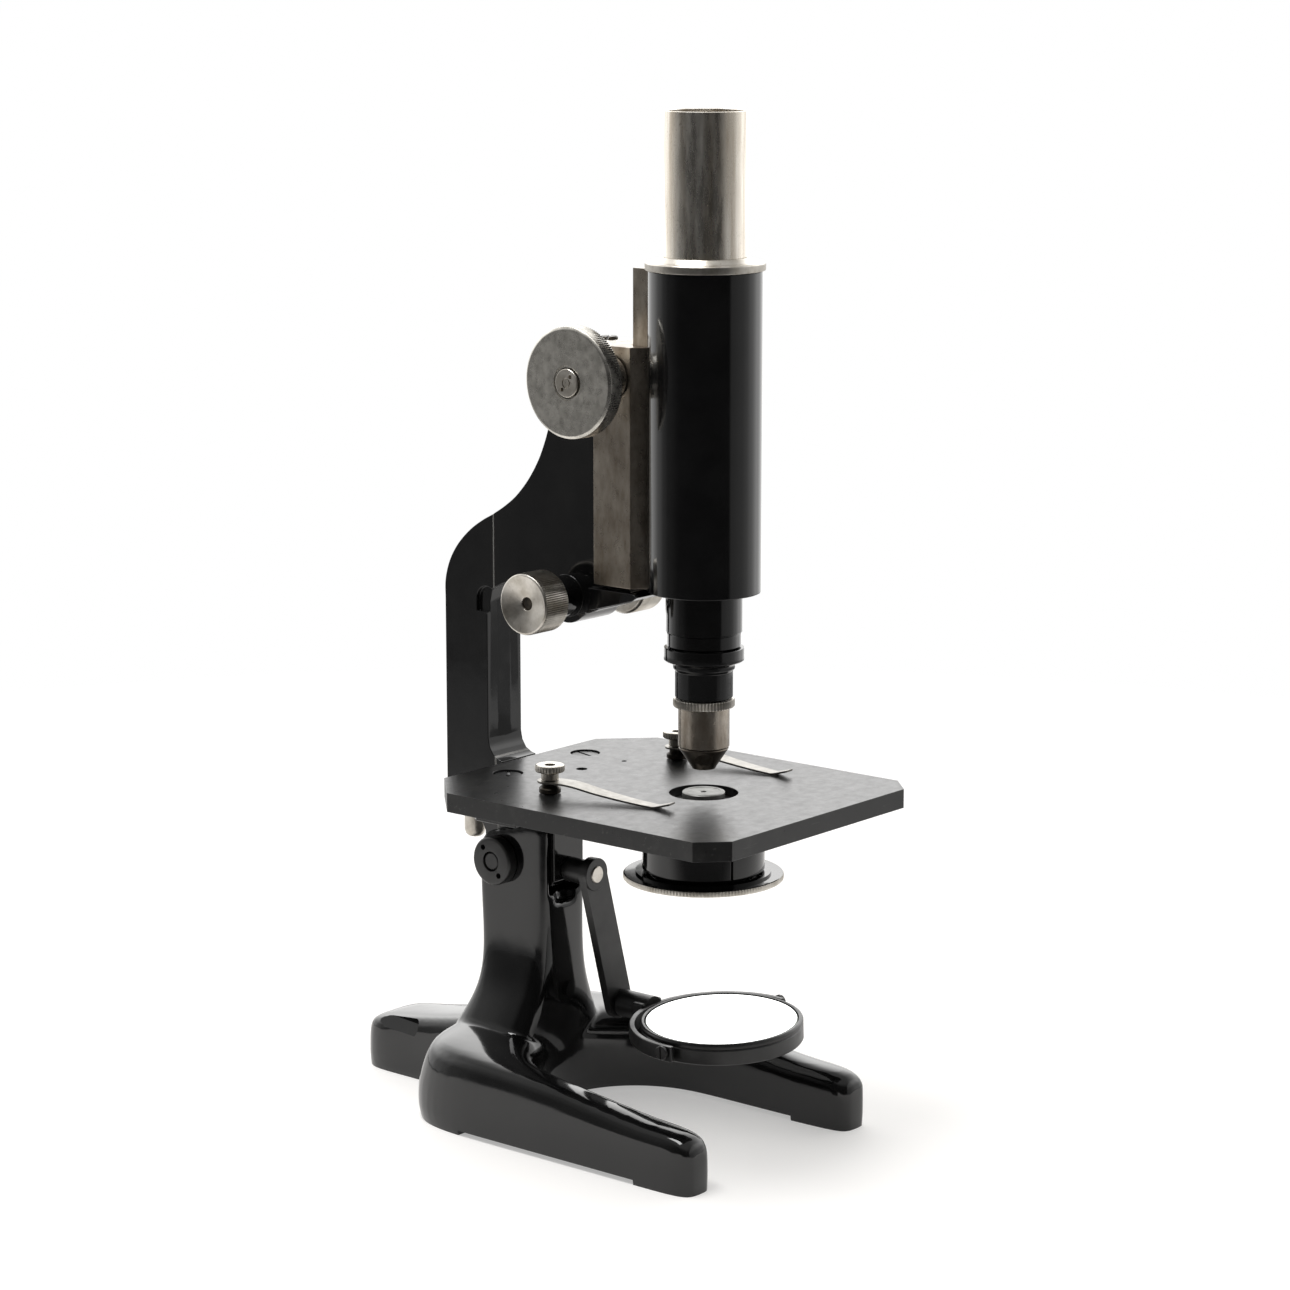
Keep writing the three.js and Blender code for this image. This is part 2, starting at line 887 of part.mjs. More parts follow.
function noseRing() {
  return turned(
    [
      [9.2, 154.2],
      [11.9, 153.6],
      [12.4, 154.2],
      [12.4, 157.4],
      [11.9, 157.9],
      [9.2, 157.9],
    ],
    ROUND,
  );
}

function noseAdapter() {
  return turned(
    [
      [6.4, 142.1],
      [8.9, 142.1],
      [8.9, 150.4],
      [9.4, 151.2],
      [9.6, 152.6],
      [10.2, 153.3],
      [6.4, 153.3],
    ],
    ROUND,
  );
}

function objectiveRing() {
  return turned(
    [
      [5.8, 139.3],
      [9.3, 139.3],
      [9.5, 139.6],
      [9.5, 141.4],
      [9.3, 141.8],
      [5.8, 141.8],
    ],
    ROUND,
  );
}

function objectiveBarrel() {
  return turned(
    [
      [5.2, 126.8],
      [7.9, 126.8],
      [7.9, 139],
      [5.2, 139],
    ],
    ROUND,
  );
}

function objectiveCone() {
  const cone = turned(
    [
      [2.1, 119.8],
      [3.7, 119.8],
      [7.7, 126.5],
      [5, 126.5],
      [2.1, 122.5],
    ],
    ROUND,
  );
  const cutter = alongY(rod(2.9, -12, -4.6, SMALL)).translate([0, 0, 122.6]).rotate([0, 0, -42]);
  return cone.subtract(cutter);
}

piece("slide_bar", slideBar(), warmNickel());
piece("rack", box(-2.8, 2.8, 23.5, 25.1, 183, SLIDE_TOP - 1), steel());
piece("body_tube", bodyTube(), enamel());
piece("top_collar", topCollar(), nickel());
piece("guide_sleeve", guideSleeve(), nickel());
piece("nose_tube", noseTube(), enamel());
piece("nose_ring", noseRing(), satinBlack());
piece("nose_adapter", noseAdapter(), enamel());
piece("objective_ring", objectiveRing(), nickel());
piece("objective_barrel", objectiveBarrel(), nickel());
piece("objective_cone", objectiveCone(), blackened());
piece("front_lens", rod(1.9, 120.2, 121.6, SMALL), lensGlass());
piece("rear_lens", rod(4.9, 130, 132, SMALL), lensGlass());

function drawtube() {
  return turned(
    [
      [DRAW_BORE, DRAW_BOTTOM],
      [DRAW_R, DRAW_BOTTOM],
      [DRAW_R, DRAW_TOP - 0.3],
      [DRAW_R - 0.3, DRAW_TOP],
      [DRAW_BORE, DRAW_TOP],
    ],
    WIDE,
  );
}

function drawtubeStop() {
  return turned(
    [
      [6, 224],
      [DRAW_BORE - SEAT, 224],
      [DRAW_BORE - SEAT, 226.5],
      [6, 226.5],
    ],
    ROUND,
  );
}
piece("drawtube", drawtube(), nickel());
piece("drawtube_diaphragm", drawtubeStop(), satinBlack());

// ---------- stage clips ----------
function clipPost() {
  return turnedSolid(
    [
      [0, 107.4],
      [1.7, 107.4],
      [1.7, 112.3],
      [3.4, 112.3],
      [3.4, 113.9],
      [2.5, 114.3],
      [2.5, 115.3],
      [1.6, 115.3],
      [1.6, 118.2],
      [0, 118.2],
    ],
    SMALL,
  );
}

function clipScrew() {
  return turned(
    [
      [1.6 + GAP, 116.5],
      [2.7, 116.5],
      [2.7, 118.6],
      [4.3, 119],
      [4.6, 119.4],
      [4.6, 120.8],
      [4.2, 121.1],
      [1.6 + GAP, 121.1],
    ],
    ROUND,
  );
}

// A sprung strip from its eye at the post, down to the stage and up again at the tip.
function clipStrip(turn) {
  const rows = [
    [-1, 6.6, 115.6],
    [5, 6.8, 115.7],
    [10, 6.6, 115.4],
    [18, 6, 114.1],
    [28, 5, 112.9],
    [36, 4.3, 112.25],
    [38.5, 4, 112.3],
    [43.5, 3.2, 113.7],
  ];
  const sections = rows.map(([s, width, z]) => {
    const h = width / 2;
    return [
      new THREE.Vector3(-h, -s, z),
      new THREE.Vector3(h, -s, z),
      new THREE.Vector3(h, -s, z + 0.6),
      new THREE.Vector3(-h, -s, z + 0.6),
    ];
  });
  const eye = rod(3.9, 115.6, 116.2, SMALL);
  const hole = rod(1.6 + GAP, 110, 120, PIN);
  return cutFrom(joined(loft(sections), eye), hole).rotate([0, 0, turn]);
}

function clip(side, x, turn) {
  const at = [x, 35.7, 0];
  piece("clip_strip_" + side, clipStrip(turn).translate(at), steel());
  piece("clip_post_" + side, clipPost().translate(at), blackened());
  piece("clip_screw_" + side, clipScrew().translate(at), nickel());
}
clip("left", -31, 8.9);
clip("right", 31, 3.3);

// ---------- mirror ----------
const swing = (manifold) => {
  const lean = manifold.translate([0, 0, -BRACKET_Z]).rotate([0, -ARM_SWING, 0]);
  return lean.translate([0, 0, BRACKET_Z]);
};

function mirrorBracket() {
  const bracket = alongY(rod(4, ARM_FRONT + 3.4, LIMB_NOSE - SEAT, SMALL)).translate([0, 0, BRACKET_Z]);
  const bore = alongY(rod(1.9, 40, 53, PIN)).translate([0, 0, BRACKET_Z]);
  return bracket.subtract(bore);
}

function mirrorArm() {
  const y0 = ARM_FRONT;
  const bar = box(-ARM_HALF, ARM_HALF, y0, y0 + 2.8, BRACKET_Z - STEM_DROP, BRACKET_Z);
  const end = alongY(rod(ARM_HALF, y0, y0 + 2.8, ROUND)).translate([0, 0, BRACKET_Z - STEM_DROP]);
  const head = alongY(rod(5.3, y0, y0 + 3.2, ROUND)).translate([0, 0, BRACKET_Z]);
  const hole = alongY(rod(1.9 + GAP, y0 - 5, y0 + 8, PIN)).translate([0, 0, BRACKET_Z]);
  const sink = alongY(rod(3.5, y0 - 5, y0 + 0.9, SMALL)).translate([0, 0, BRACKET_Z]);
  const stemHole = alongY(rod(2.6, y0 - 5, y0 + 8, SMALL)).translate([0, 0, BRACKET_Z - STEM_DROP]);
  return swing(cutFrom(joined(bar, end, head), hole, sink, stemHole));
}

function armScrew() {
  const y0 = ARM_FRONT;
  const head = alongY(rod(3.1, y0 - 0.4, y0 + 0.7, SMALL));
  const shank = alongY(rod(1.8, y0, y0 + 8.6, PIN));
  return joined(head, shank).translate([0, 0, BRACKET_Z]);
}

const leanRadians = (ARM_SWING * Math.PI) / 180;
const STEM_X = STEM_DROP * Math.sin(leanRadians);
const STEM_Z = BRACKET_Z - STEM_DROP * Math.cos(leanRadians);

// The fork and what it carries are turned a little on the stem.
const rolled = (manifold) => {
  const turnedOnStem = manifold.translate([-STEM_X, 0, -STEM_Z]).rotate([0, -MIRROR_ROLL, 0]);
  return turnedOnStem.translate([STEM_X, 0, STEM_Z]);
};

function mirrorFork() {
  const span = arc(0, 0, FORK_R, -6, 186, 28);
  const inner = arc(0, 0, RING_R + 1.6, 186, -6, 28);
  const hoop = planPlate([...span, ...inner], MIRROR_Z - 2.9, MIRROR_Z + 2)
    .translate([MIRROR_X, MIRROR_Y, 0]);
  const pin = alongY(rod(2.5, 29, ARM_FRONT + 5, SMALL)).translate([STEM_X, 0, STEM_Z]);
  const shoulder = alongY(rod(4.4, 29, ARM_FRONT - 0.4, SMALL)).translate([STEM_X, 0, STEM_Z]);
  const clear = rod(RING_R + 1.6, 20, 50, WIDE).translate([MIRROR_X, MIRROR_Y, 0]);
  const holes = alongX(rod(1.2 + GAP, -40, 40, PIN)).translate([MIRROR_X, MIRROR_Y, MIRROR_Z]);
  return cutFrom(joined(hoop, pin, shoulder), clear, holes);
}

function forkScrew() {
  const screwBody = turnedSolid(
    [
      [0, 24.4],
      [1.2, 24.4],
      [1.2, FORK_R + 0.2],
      [2.2, FORK_R + 0.2],
      [2.2, FORK_R + 1.4],
      [0, FORK_R + 1.4],
    ],
    PIN,
  );
  return alongX(screwBody);
}

function mirrorRing() {
  const ring = turned(
    [
      [22.6, -2.4],
      [RING_R - 0.6, -4],
      [RING_R, -3.4],
      [RING_R, 0.8],
      [RING_R - 0.4, 1.1],
      [RING_R, 1.4],
      [RING_R, 2.4],
      [RING_R - 0.6, 2.9],
      [24.4, 2.9],
      [24.4, 1.1],
      [22.6, 1.1],
    ],
    WIDE,
  );
  const pivots = alongX(rod(1.35, 24, 30, PIN));
  return cutFrom(ring, pivots, mirrored(pivots));
}

function concaveGlass() {
  return turnedSolid(
    [
      [0, -0.6],
      [9, -0.8],
      [17, -1.5],
      [22.3, -2.4],
      [22.3, 0.8],
      [0, 0.8],
    ],
    WIDE,
  );
}

piece("mirror_bracket", mirrorBracket(), satinBlack());
piece("mirror_arm", mirrorArm(), satinBlack());
piece("arm_screw", armScrew(), nickel());
piece("mirror_fork", rolled(mirrorFork()), satinBlack());
const placed = (manifold) => rolled(manifold.translate([MIRROR_X, MIRROR_Y, MIRROR_Z]));
piece("fork_screw_right", placed(forkScrew()), blackened());
piece("fork_screw_left", placed(mirrored(forkScrew())), blackened());
piece("mirror_ring", placed(mirrorRing()), satinBlack());
piece("mirror_flat", placed(rod(24.1, 1.4, 2.6, WIDE)), mirrorGlass());
piece("mirror_concave", placed(concaveGlass()), mirrorGlass());

const group = new THREE.Group();
group.add(instrument);

export default group;
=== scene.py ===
# The looks of an antique compound microscope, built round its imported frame.
# Lengths in the tables are millimetres and MM turns them into metres. +Z is up and the front faces -Y.
import json
import math

import bpy
from mathutils import Matrix, Vector

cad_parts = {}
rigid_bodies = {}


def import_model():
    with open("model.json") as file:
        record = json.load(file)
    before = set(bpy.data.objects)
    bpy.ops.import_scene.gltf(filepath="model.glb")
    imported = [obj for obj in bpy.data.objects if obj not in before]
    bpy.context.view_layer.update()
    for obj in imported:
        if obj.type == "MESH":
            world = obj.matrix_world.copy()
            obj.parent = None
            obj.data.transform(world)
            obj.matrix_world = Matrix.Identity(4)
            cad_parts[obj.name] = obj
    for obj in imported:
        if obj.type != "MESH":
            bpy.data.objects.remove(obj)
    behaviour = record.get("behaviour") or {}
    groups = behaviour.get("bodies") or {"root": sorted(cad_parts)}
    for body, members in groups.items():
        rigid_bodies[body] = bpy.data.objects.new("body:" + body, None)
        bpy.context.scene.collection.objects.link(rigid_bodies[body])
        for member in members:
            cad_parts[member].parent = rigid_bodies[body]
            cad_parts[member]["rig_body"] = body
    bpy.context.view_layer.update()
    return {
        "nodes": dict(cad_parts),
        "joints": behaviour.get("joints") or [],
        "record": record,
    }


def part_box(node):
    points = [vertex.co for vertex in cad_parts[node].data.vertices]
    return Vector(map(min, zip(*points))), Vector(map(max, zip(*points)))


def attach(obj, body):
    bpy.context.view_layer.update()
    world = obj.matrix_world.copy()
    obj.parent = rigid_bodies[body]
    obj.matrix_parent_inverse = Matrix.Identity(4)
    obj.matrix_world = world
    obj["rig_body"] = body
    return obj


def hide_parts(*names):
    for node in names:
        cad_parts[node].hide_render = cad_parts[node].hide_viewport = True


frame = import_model()

MM = 0.001
FINE = 128  # sides of the large turned pieces
PLAIN = 96
SMALL = 48
SMOOTH_ANGLE = math.radians(32)
WELD = 1e-6
SLOT_OF = {part["node"]: part["material_slot"] for part in frame["record"]["subparts"]}
JOINTS = {joint["name"]: joint for joint in frame["joints"]}
OPTIC = (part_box("body_tube")[0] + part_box("body_tube")[1]) / 2
STAGE_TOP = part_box("stage_plate")[1].z / MM


# ---------- working on a mesh ----------
def pick(piece):
    bpy.ops.object.select_all(action="DESELECT")
    piece.select_set(True)
    bpy.context.view_layer.objects.active = piece


def editing(piece):
    pick(piece)
    bpy.ops.object.mode_set(mode="EDIT")
    bpy.ops.mesh.select_mode(type="VERT")


def done():
    bpy.ops.object.mode_set(mode="OBJECT")
    return bpy.context.object


def select_where(piece, test, kind="vertices"):
    """Leaves the piece in edit mode with only the elements that pass the test selected."""
    editing(piece)
    bpy.ops.mesh.select_mode(type={"vertices": "VERT", "edges": "EDGE", "polygons": "FACE"}[kind])
    bpy.ops.mesh.select_all(action="DESELECT")
    bpy.ops.object.mode_set(mode="OBJECT")
    for element in getattr(piece.data, kind):
        element.select = bool(test(element))
    bpy.ops.object.mode_set(mode="EDIT")


def apply(piece, kind, **settings):
    """Adds a modifier with these settings and applies it."""
    pick(piece)
    modifier = piece.modifiers.new(kind.lower(), kind)
    for name, value in settings.items():
        setattr(modifier, name, value)
    bpy.ops.object.modifier_apply(modifier=modifier.name)
    return piece


def soften(piece, width, segments=2, angle=35):
    """Rounds every edge sharper than the angle."""
    return apply(piece, "BEVEL", width=width * MM, segments=segments, limit_method="ANGLE",
                 angle_limit=math.radians(angle), harden_normals=False)


def cut(piece, cutter):
    apply(piece, "BOOLEAN", operation="DIFFERENCE", object=cutter, solver="EXACT")
    bpy.data.objects.remove(cutter)
    return piece


def fuse(piece, other):
    apply(piece, "BOOLEAN", operation="UNION", object=other, solver="EXACT")
    bpy.data.objects.remove(other)
    return piece


def put(piece, at=(0, 0, 0), turn=(0, 0, 0)):
    """Turns and moves the piece, and leaves its object at the origin."""
    pick(piece)
    piece.location = at
    piece.rotation_euler = turn
    bpy.ops.object.transform_apply(location=True, rotation=True, scale=True)
    return piece


def spin_on_axis(piece, degrees):
    """Turns a piece about its own Z before it is put in place."""
    return put(piece, turn=(0, 0, math.radians(degrees)))


def tidy_skin(piece):
    editing(piece)
    bpy.ops.mesh.select_all(action="SELECT")
    bpy.ops.mesh.remove_doubles(threshold=WELD)
    bpy.ops.mesh.normals_make_consistent(inside=False)
    return done()


def dress(piece, *nodes, look=None, smooth=True):
    """Gives a finished piece its shading, its finish (the given look, or the one for its node's slot) and its
    body, and hides the frame nodes that it stands for.
    """
    pick(piece)
    if smooth:
        bpy.ops.object.shade_smooth_by_angle(angle=SMOOTH_ANGLE)
        apply(piece, "WEIGHTED_NORMAL", keep_sharp=True)  # broad faces stay flat beside their rounded edges
    slot = SLOT_OF[nodes[0]]
    piece.data.materials.clear()
    piece.data.materials.append(look or LOOKS[slot])
    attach(piece, frame["nodes"][nodes[0]]["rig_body"])
    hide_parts(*nodes)
    return piece


# ---------- ways of making a shape ----------
def turned(name, rings, sides=PLAIN, bored=False):
    """Turns rings of (radius, height) about Z. A bored piece comes back to its first ring."""
    radius, height = rings[0]
    bpy.ops.object.select_all(action="DESELECT")
    fill = "NOTHING" if bored else "NGON"
    bpy.ops.mesh.primitive_circle_add(vertices=sides, radius=radius * MM, fill_type=fill)
    piece = bpy.context.object
    piece.name = name
    editing(piece)
    bpy.ops.mesh.select_all(action="SELECT")
    bpy.ops.transform.translate(value=(0, 0, height * MM))
    for next_radius, next_height in rings[1:] + (rings[:1] if bored else []):
        rise = (0, 0, (next_height - height) * MM)
        bpy.ops.mesh.extrude_region_move(TRANSFORM_OT_translate={"value": rise})
        scale = next_radius / radius
        bpy.ops.transform.resize(value=(scale, scale, 1), center_override=(0, 0, next_height * MM))
        radius, height = next_radius, next_height
    done()
    return tidy_skin(piece)


def rod(name, radius, low, high, sides=SMALL):
    return turned(name, [(radius, low), (radius, high)], sides)


def drill(piece, radius, low, high, x=0, y=0, sides=SMALL):
    """Cuts an upright round hole between two heights."""
    return cut(piece, put(rod("tool", radius, low, high, sides), at=(x * MM, y * MM, 0)))


def outlined(name, points, low, high):
    """An outline in plan raised from low to high."""
    bpy.ops.object.select_all(action="DESELECT")
    bpy.ops.mesh.primitive_circle_add(vertices=len(points), radius=MM, fill_type="NGON")
    piece = bpy.context.object
    piece.name = name
    for vertex, (x, y) in zip(piece.data.vertices, points):
        vertex.co = (x * MM, y * MM, low * MM)
    editing(piece)
    bpy.ops.mesh.select_all(action="SELECT")
    bpy.ops.mesh.extrude_region_move(TRANSFORM_OT_translate={"value": (0, 0, (high - low) * MM)})
    done()
    return tidy_skin(piece)


SIDEWAYS = Matrix(((0, 0, 1), (1, 0, 0), (0, 1, 0))).to_euler()


def side_outlined(name, points, low, high):
    """A side outline of (y, z) points spread from x low to x high."""
    return put(outlined(name, points, low, high), turn=SIDEWAYS)


def block(name, x, y, z):
    """A plain block between two values each way, to cut with or to shape further."""
    size = [(high - low) * MM for low, high in (x, y, z)]
    middle = [(high + low) / 2 * MM for low, high in (x, y, z)]
    bpy.ops.object.select_all(action="DESELECT")
    bpy.ops.mesh.primitive_cube_add(size=1, location=middle, scale=size)
    piece = bpy.context.object
    piece.name = name
    bpy.ops.object.transform_apply(location=True, rotation=True, scale=True)
    return piece


def skinned(name, sections):
    """Draws a section out through the others, point to point. Each is a list of points."""
    bpy.ops.object.select_all(action="DESELECT")
    bpy.ops.mesh.primitive_circle_add(vertices=len(sections[0]), radius=MM, fill_type="NGON")
    piece = bpy.context.object
    piece.name = name
    places = [Vector(p) * MM for p in sections[0]]
    for vertex, corner in zip(piece.data.vertices, places):
        vertex.co = corner
    last = list(range(len(places)))
    for section in sections[1:]:
        editing(piece)
        bpy.ops.mesh.select_mode(type="FACE")
        bpy.ops.mesh.select_all(action="DESELECT")
        bpy.ops.object.mode_set(mode="OBJECT")
        piece.data.polygons[face_of(piece, last)].select = True
        bpy.ops.object.mode_set(mode="EDIT")
        bpy.ops.mesh.extrude_region_move()
        bpy.ops.object.mode_set(mode="OBJECT")
        moved = [v for v in piece.data.vertices if v.select]
        old = {tuple(round(c, 7) for c in corner): i for i, corner in enumerate(places)}
        places = [Vector(p) * MM for p in section]
        last = [0] * len(places)
        for vertex in moved:
            i = old[tuple(round(c, 7) for c in vertex.co)]
            last[i] = vertex.index
            vertex.co = places[i]
    return tidy_skin(piece)


def face_of(piece, corners):
    wanted = set(corners)
    return next(f.index for f in piece.data.polygons if set(f.vertices) == wanted)


def arc(cx, cy, radius, start, end, steps):
    angles = [math.radians(start + (end - start) * i / steps) for i in range(steps + 1)]
    return [(cx + radius * math.cos(a), cy + radius * math.sin(a)) for a in angles]


def flowing(points, steps=5):
    """More points on one smooth line through these."""
    line = [Vector(p) for p in points]
    line = [line[0] * 2 - line[1], *line, line[-1] * 2 - line[-2]]
    made = []
    for a, b, c, d in zip(line, line[1:], line[2:], line[3:]):
        for i in range(steps):
            t = i / steps
            made.append(0.5 * (2 * b + (c - a) * t + (2 * a - 5 * b + 4 * c - d) * t * t
                               + (3 * b - a - 3 * c + d) * t ** 3))
    return [tuple(p) for p in made] + [tuple(points[-1])]


def knurl(piece, teeth_radius, low, high, depth, sides):
    """Presses straight grooves into a turned rim between two heights: every other upright line goes in."""
    def on_groove(vertex):
        x, y, z = (c / MM for c in vertex.co)
        line = round(math.atan2(y, x) / (2 * math.pi) * sides)
        return line % 2 and low <= z <= high and abs(math.hypot(x, y) - teeth_radius) < 0.02
    select_where(piece, on_groove)
    scale = 1 - depth / teeth_radius
    bpy.ops.transform.resize(value=(scale, scale, 1), center_override=(0, 0, 0))
    done()
    return piece


TURNS = {"up": (0, 0, 0), "right": (0, math.pi / 2, 0), "left": (0, -math.pi / 2, 0),
         "front": (math.pi / 2, 0, 0)}


def seat(node, facing):
    """Where a turned piece starts and how it is turned, so that its Z runs the way the node faces."""
    low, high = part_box(node)
    x, y, z = (low + high) / 2
    starts = {"up": (x, y, low.z), "right": (low.x, y, z), "left": (high.x, y, z), "front": (x, high.y, z)}
    return Vector(starts[facing]), TURNS[facing]


def place(piece, node, facing="up", look=None):
    """Stands a turned piece in for its node, where the node is and facing as it does."""
    start, turn = seat(node, facing)
    return dress(put(piece, start, turn), node, look=look)


def from_optic(x, y, z):
    return Vector((OPTIC.x + x * MM, OPTIC.y + y * MM, z * MM))


# ---------- finishes ----------
class Nodes:
    """A node tree, and short ways of adding nodes to it."""

    def __init__(self, tree):
        self.tree = tree

    def node(self, kind, **settings):
        made = self.tree.nodes.new(kind)
        for name, value in settings.items():
            setattr(made, name, value)
        return made

    def link(self, source, target):
        self.tree.links.new(source, target)

    def math(self, operation, *values):
        """One sum, of numbers or other nodes' outputs."""
        made = self.node("ShaderNodeMath", operation=operation)
        for socket, value in zip(made.inputs, values):
            if isinstance(value, (int, float)):
                socket.default_value = value
            else:
                self.link(value, socket)
        return made.outputs["Value"]

    def levels(self, value, low, high, to_low=0.0, to_high=1.0, steps="LINEAR"):
        spread = self.node("ShaderNodeMapRange", interpolation_type=steps)
        numbers = {"From Min": low, "From Max": high, "To Min": to_low, "To Max": to_high}
        for socket, number in numbers.items():
            spread.inputs[socket].default_value = number
        self.link(value, spread.inputs["Value"])
        return spread.outputs["Result"]

    def along(self, vector, direction):
        """How far a place or a way of looking runs in this direction."""
        dot = self.node("ShaderNodeVectorMath", operation="DOT_PRODUCT")
        self.link(vector, dot.inputs[0])
        dot.inputs[1].default_value = direction
        return dot.outputs["Value"]

    def glow(self, kind, colour, strength):
        """A background or an emission, of this colour and strength."""
        made = self.node(kind)
        made.inputs["Color"].default_value = (*colour, 1)
        if isinstance(strength, (int, float)):
            made.inputs["Strength"].default_value = strength
        else:
            self.link(strength, made.inputs["Strength"])
        return made.outputs[0]

    def mixed(self, factor, first, second):
        mix = self.node("ShaderNodeMixShader")
        self.link(factor, mix.inputs["Fac"])
        self.link(first, mix.inputs[1])
        self.link(second, mix.inputs[2])
        return mix.outputs["Shader"]


class Finish(Nodes):
    """A material with a Principled shader, and short ways of giving it procedural wear."""

    def __init__(self, name, metallic, ior=1.5):
        self.material = bpy.data.materials.new(name)
        self.material.use_nodes = True
        super().__init__(self.material.node_tree)
        self.shader = self.tree.nodes["Principled BSDF"]
        self.shader.inputs["Metallic"].default_value = metallic
        self.shader.inputs["IOR"].default_value = ior
        self.where = self.node("ShaderNodeTexCoord").outputs["Object"]

    def stretched(self, x, y, z):
        mapping = self.node("ShaderNodeMapping")
        mapping.inputs["Scale"].default_value = (x, y, z)
        self.link(self.where, mapping.inputs["Vector"])
        return mapping.outputs["Vector"]

    def noise(self, size, detail=4.0, roughness=0.55, where=None):
        """Noise whose features are about this many millimetres across."""
        texture = self.node("ShaderNodeTexNoise")
        texture.inputs["Scale"].default_value = 1 / (size * MM)
        texture.inputs["Detail"].default_value = detail
        texture.inputs["Roughness"].default_value = roughness
        self.link(where or self.where, texture.inputs["Vector"])
        return texture.outputs["Fac"]

    def between(self, factor, first, second):
        """A colour between two, each a colour or another node's output."""
        mix = self.node("ShaderNodeMix", data_type="RGBA")
        self.link(factor, mix.inputs["Factor"])
        for socket, colour in ((mix.inputs["A"], first), (mix.inputs["B"], second)):
            if isinstance(colour, tuple):
                socket.default_value = (*colour, 1)
            else:
                self.link(colour, socket)
        return mix.outputs["Result"]

    def colour(self, output):
        self.link(output, self.shader.inputs["Base Color"])

    def roughness(self, output):
        self.link(output, self.shader.inputs["Roughness"])

    def relief(self, height, depth, strength=1.0, over=None):
        """Bump of about this depth in millimetres, on top of an earlier relief."""
        bump = self.node("ShaderNodeBump")
        bump.inputs["Strength"].default_value = strength
        bump.inputs["Distance"].default_value = depth * MM
        self.link(height, bump.inputs["Height"])
        if over:
            self.link(over, bump.inputs["Normal"])
        self.link(bump.outputs["Normal"], self.shader.inputs["Normal"])
        return bump.outputs["Normal"]

    def specks(self, cell, radius, share):
        """Small round specks: one in each cell of this size, in this share of the cells."""
        cells = self.node("ShaderNodeTexVoronoi")
        cells.inputs["Scale"].default_value = 1 / (cell * MM)
        self.link(self.where, cells.inputs["Vector"])
        near = self.levels(cells.outputs["Distance"], radius / cell, radius / cell * 0.6)
        split = self.node("ShaderNodeSeparateColor")
        self.link(cells.outputs["Color"], split.inputs["Color"])
        chosen = self.math("GREATER_THAN", split.outputs["Red"], 1 - share)
        return self.math("MULTIPLY", near, chosen)


def gloss_enamel(name="gloss_black_enamel", seam=None):
    """Stoved black enamel: deep gloss over a casting that is not quite flat, with a little dust.

    A seam is the y where two castings meet: there a pale line is painted along it, a painted highlight for
    the light that the seam's edge catches, broken up with noise."""
    finish = Finish(name, 0.0)
    cloud = finish.levels(finish.noise(14), 0.35, 0.65)
    black = finish.between(cloud, (0.0028, 0.0028, 0.003), (0.0055, 0.0055, 0.0055))
    # Painted highlight: a pale line along the seam stands for the light caught on the seam's edge.
    if seam:
        split = finish.node("ShaderNodeSeparateXYZ")
        finish.link(finish.where, split.inputs["Vector"])
        near = finish.math("ABSOLUTE", finish.math("SUBTRACT", split.outputs["Y"], seam))
        line = finish.levels(near, 0.5 * MM, 0.3 * MM)
        # Noise that breaks up the painted seam highlight.
        worn = finish.levels(finish.noise(2.5, detail=4), 0.25, 0.5, 0.35, 1)
        black = finish.between(finish.math("MULTIPLY", line, worn), black, (0.2, 0.195, 0.185))
    finish.colour(finish.between(finish.specks(4.5, 0.16, 0.012), black, (0.3, 0.3, 0.29)))
    finish.roughness(finish.levels(finish.noise(6, detail=6), 0.3, 0.75, 0.05, 0.13))
    wave = finish.relief(finish.noise(9, detail=1.5), 0.08, 0.5)
    finish.relief(finish.noise(0.9, detail=2), 0.004, 0.5, over=wave)
    return finish.material


def tube_enamel():
    """The same enamel on drawn tube, which is truer than the castings."""
    finish = Finish("tube_black_enamel", 0.0)
    cloud = finish.levels(finish.noise(12), 0.35, 0.65)
    black = finish.between(cloud, (0.003, 0.003, 0.0032), (0.0052, 0.0052, 0.0054))
    finish.colour(finish.between(finish.specks(5, 0.15, 0.02), black, (0.4, 0.4, 0.39)))
    finish.roughness(finish.levels(finish.noise(5, detail=6), 0.3, 0.75, 0.06, 0.14))
    wave = finish.relief(finish.noise(7, detail=1, where=finish.stretched(1, 1, 0.25)), 0.012, 0.4)
    finish.relief(finish.noise(0.7, detail=2), 0.002, 0.5, over=wave)
    return finish.material


def satin_lacquer():
    """Satin black lacquer, rubbed a little grey, with fine random scratches."""
    finish = Finish("satin_black_lacquer", 0.0)
    rubbed = finish.levels(finish.noise(18, detail=6, roughness=0.65), 0.42, 0.68)
    finish.colour(finish.between(rubbed, (0.006, 0.006, 0.0062), (0.014, 0.0137, 0.013)))
    finish.roughness(finish.levels(finish.noise(7, detail=8), 0.3, 0.7, 0.3, 0.46))
    marks = finish.noise(0.5, detail=4, where=finish.stretched(1, 0.12, 1))
    scored = finish.relief(marks, 0.012, 0.5)
    finish.relief(finish.noise(0.25, detail=3), 0.006, 0.6, over=scored)
    return finish.material


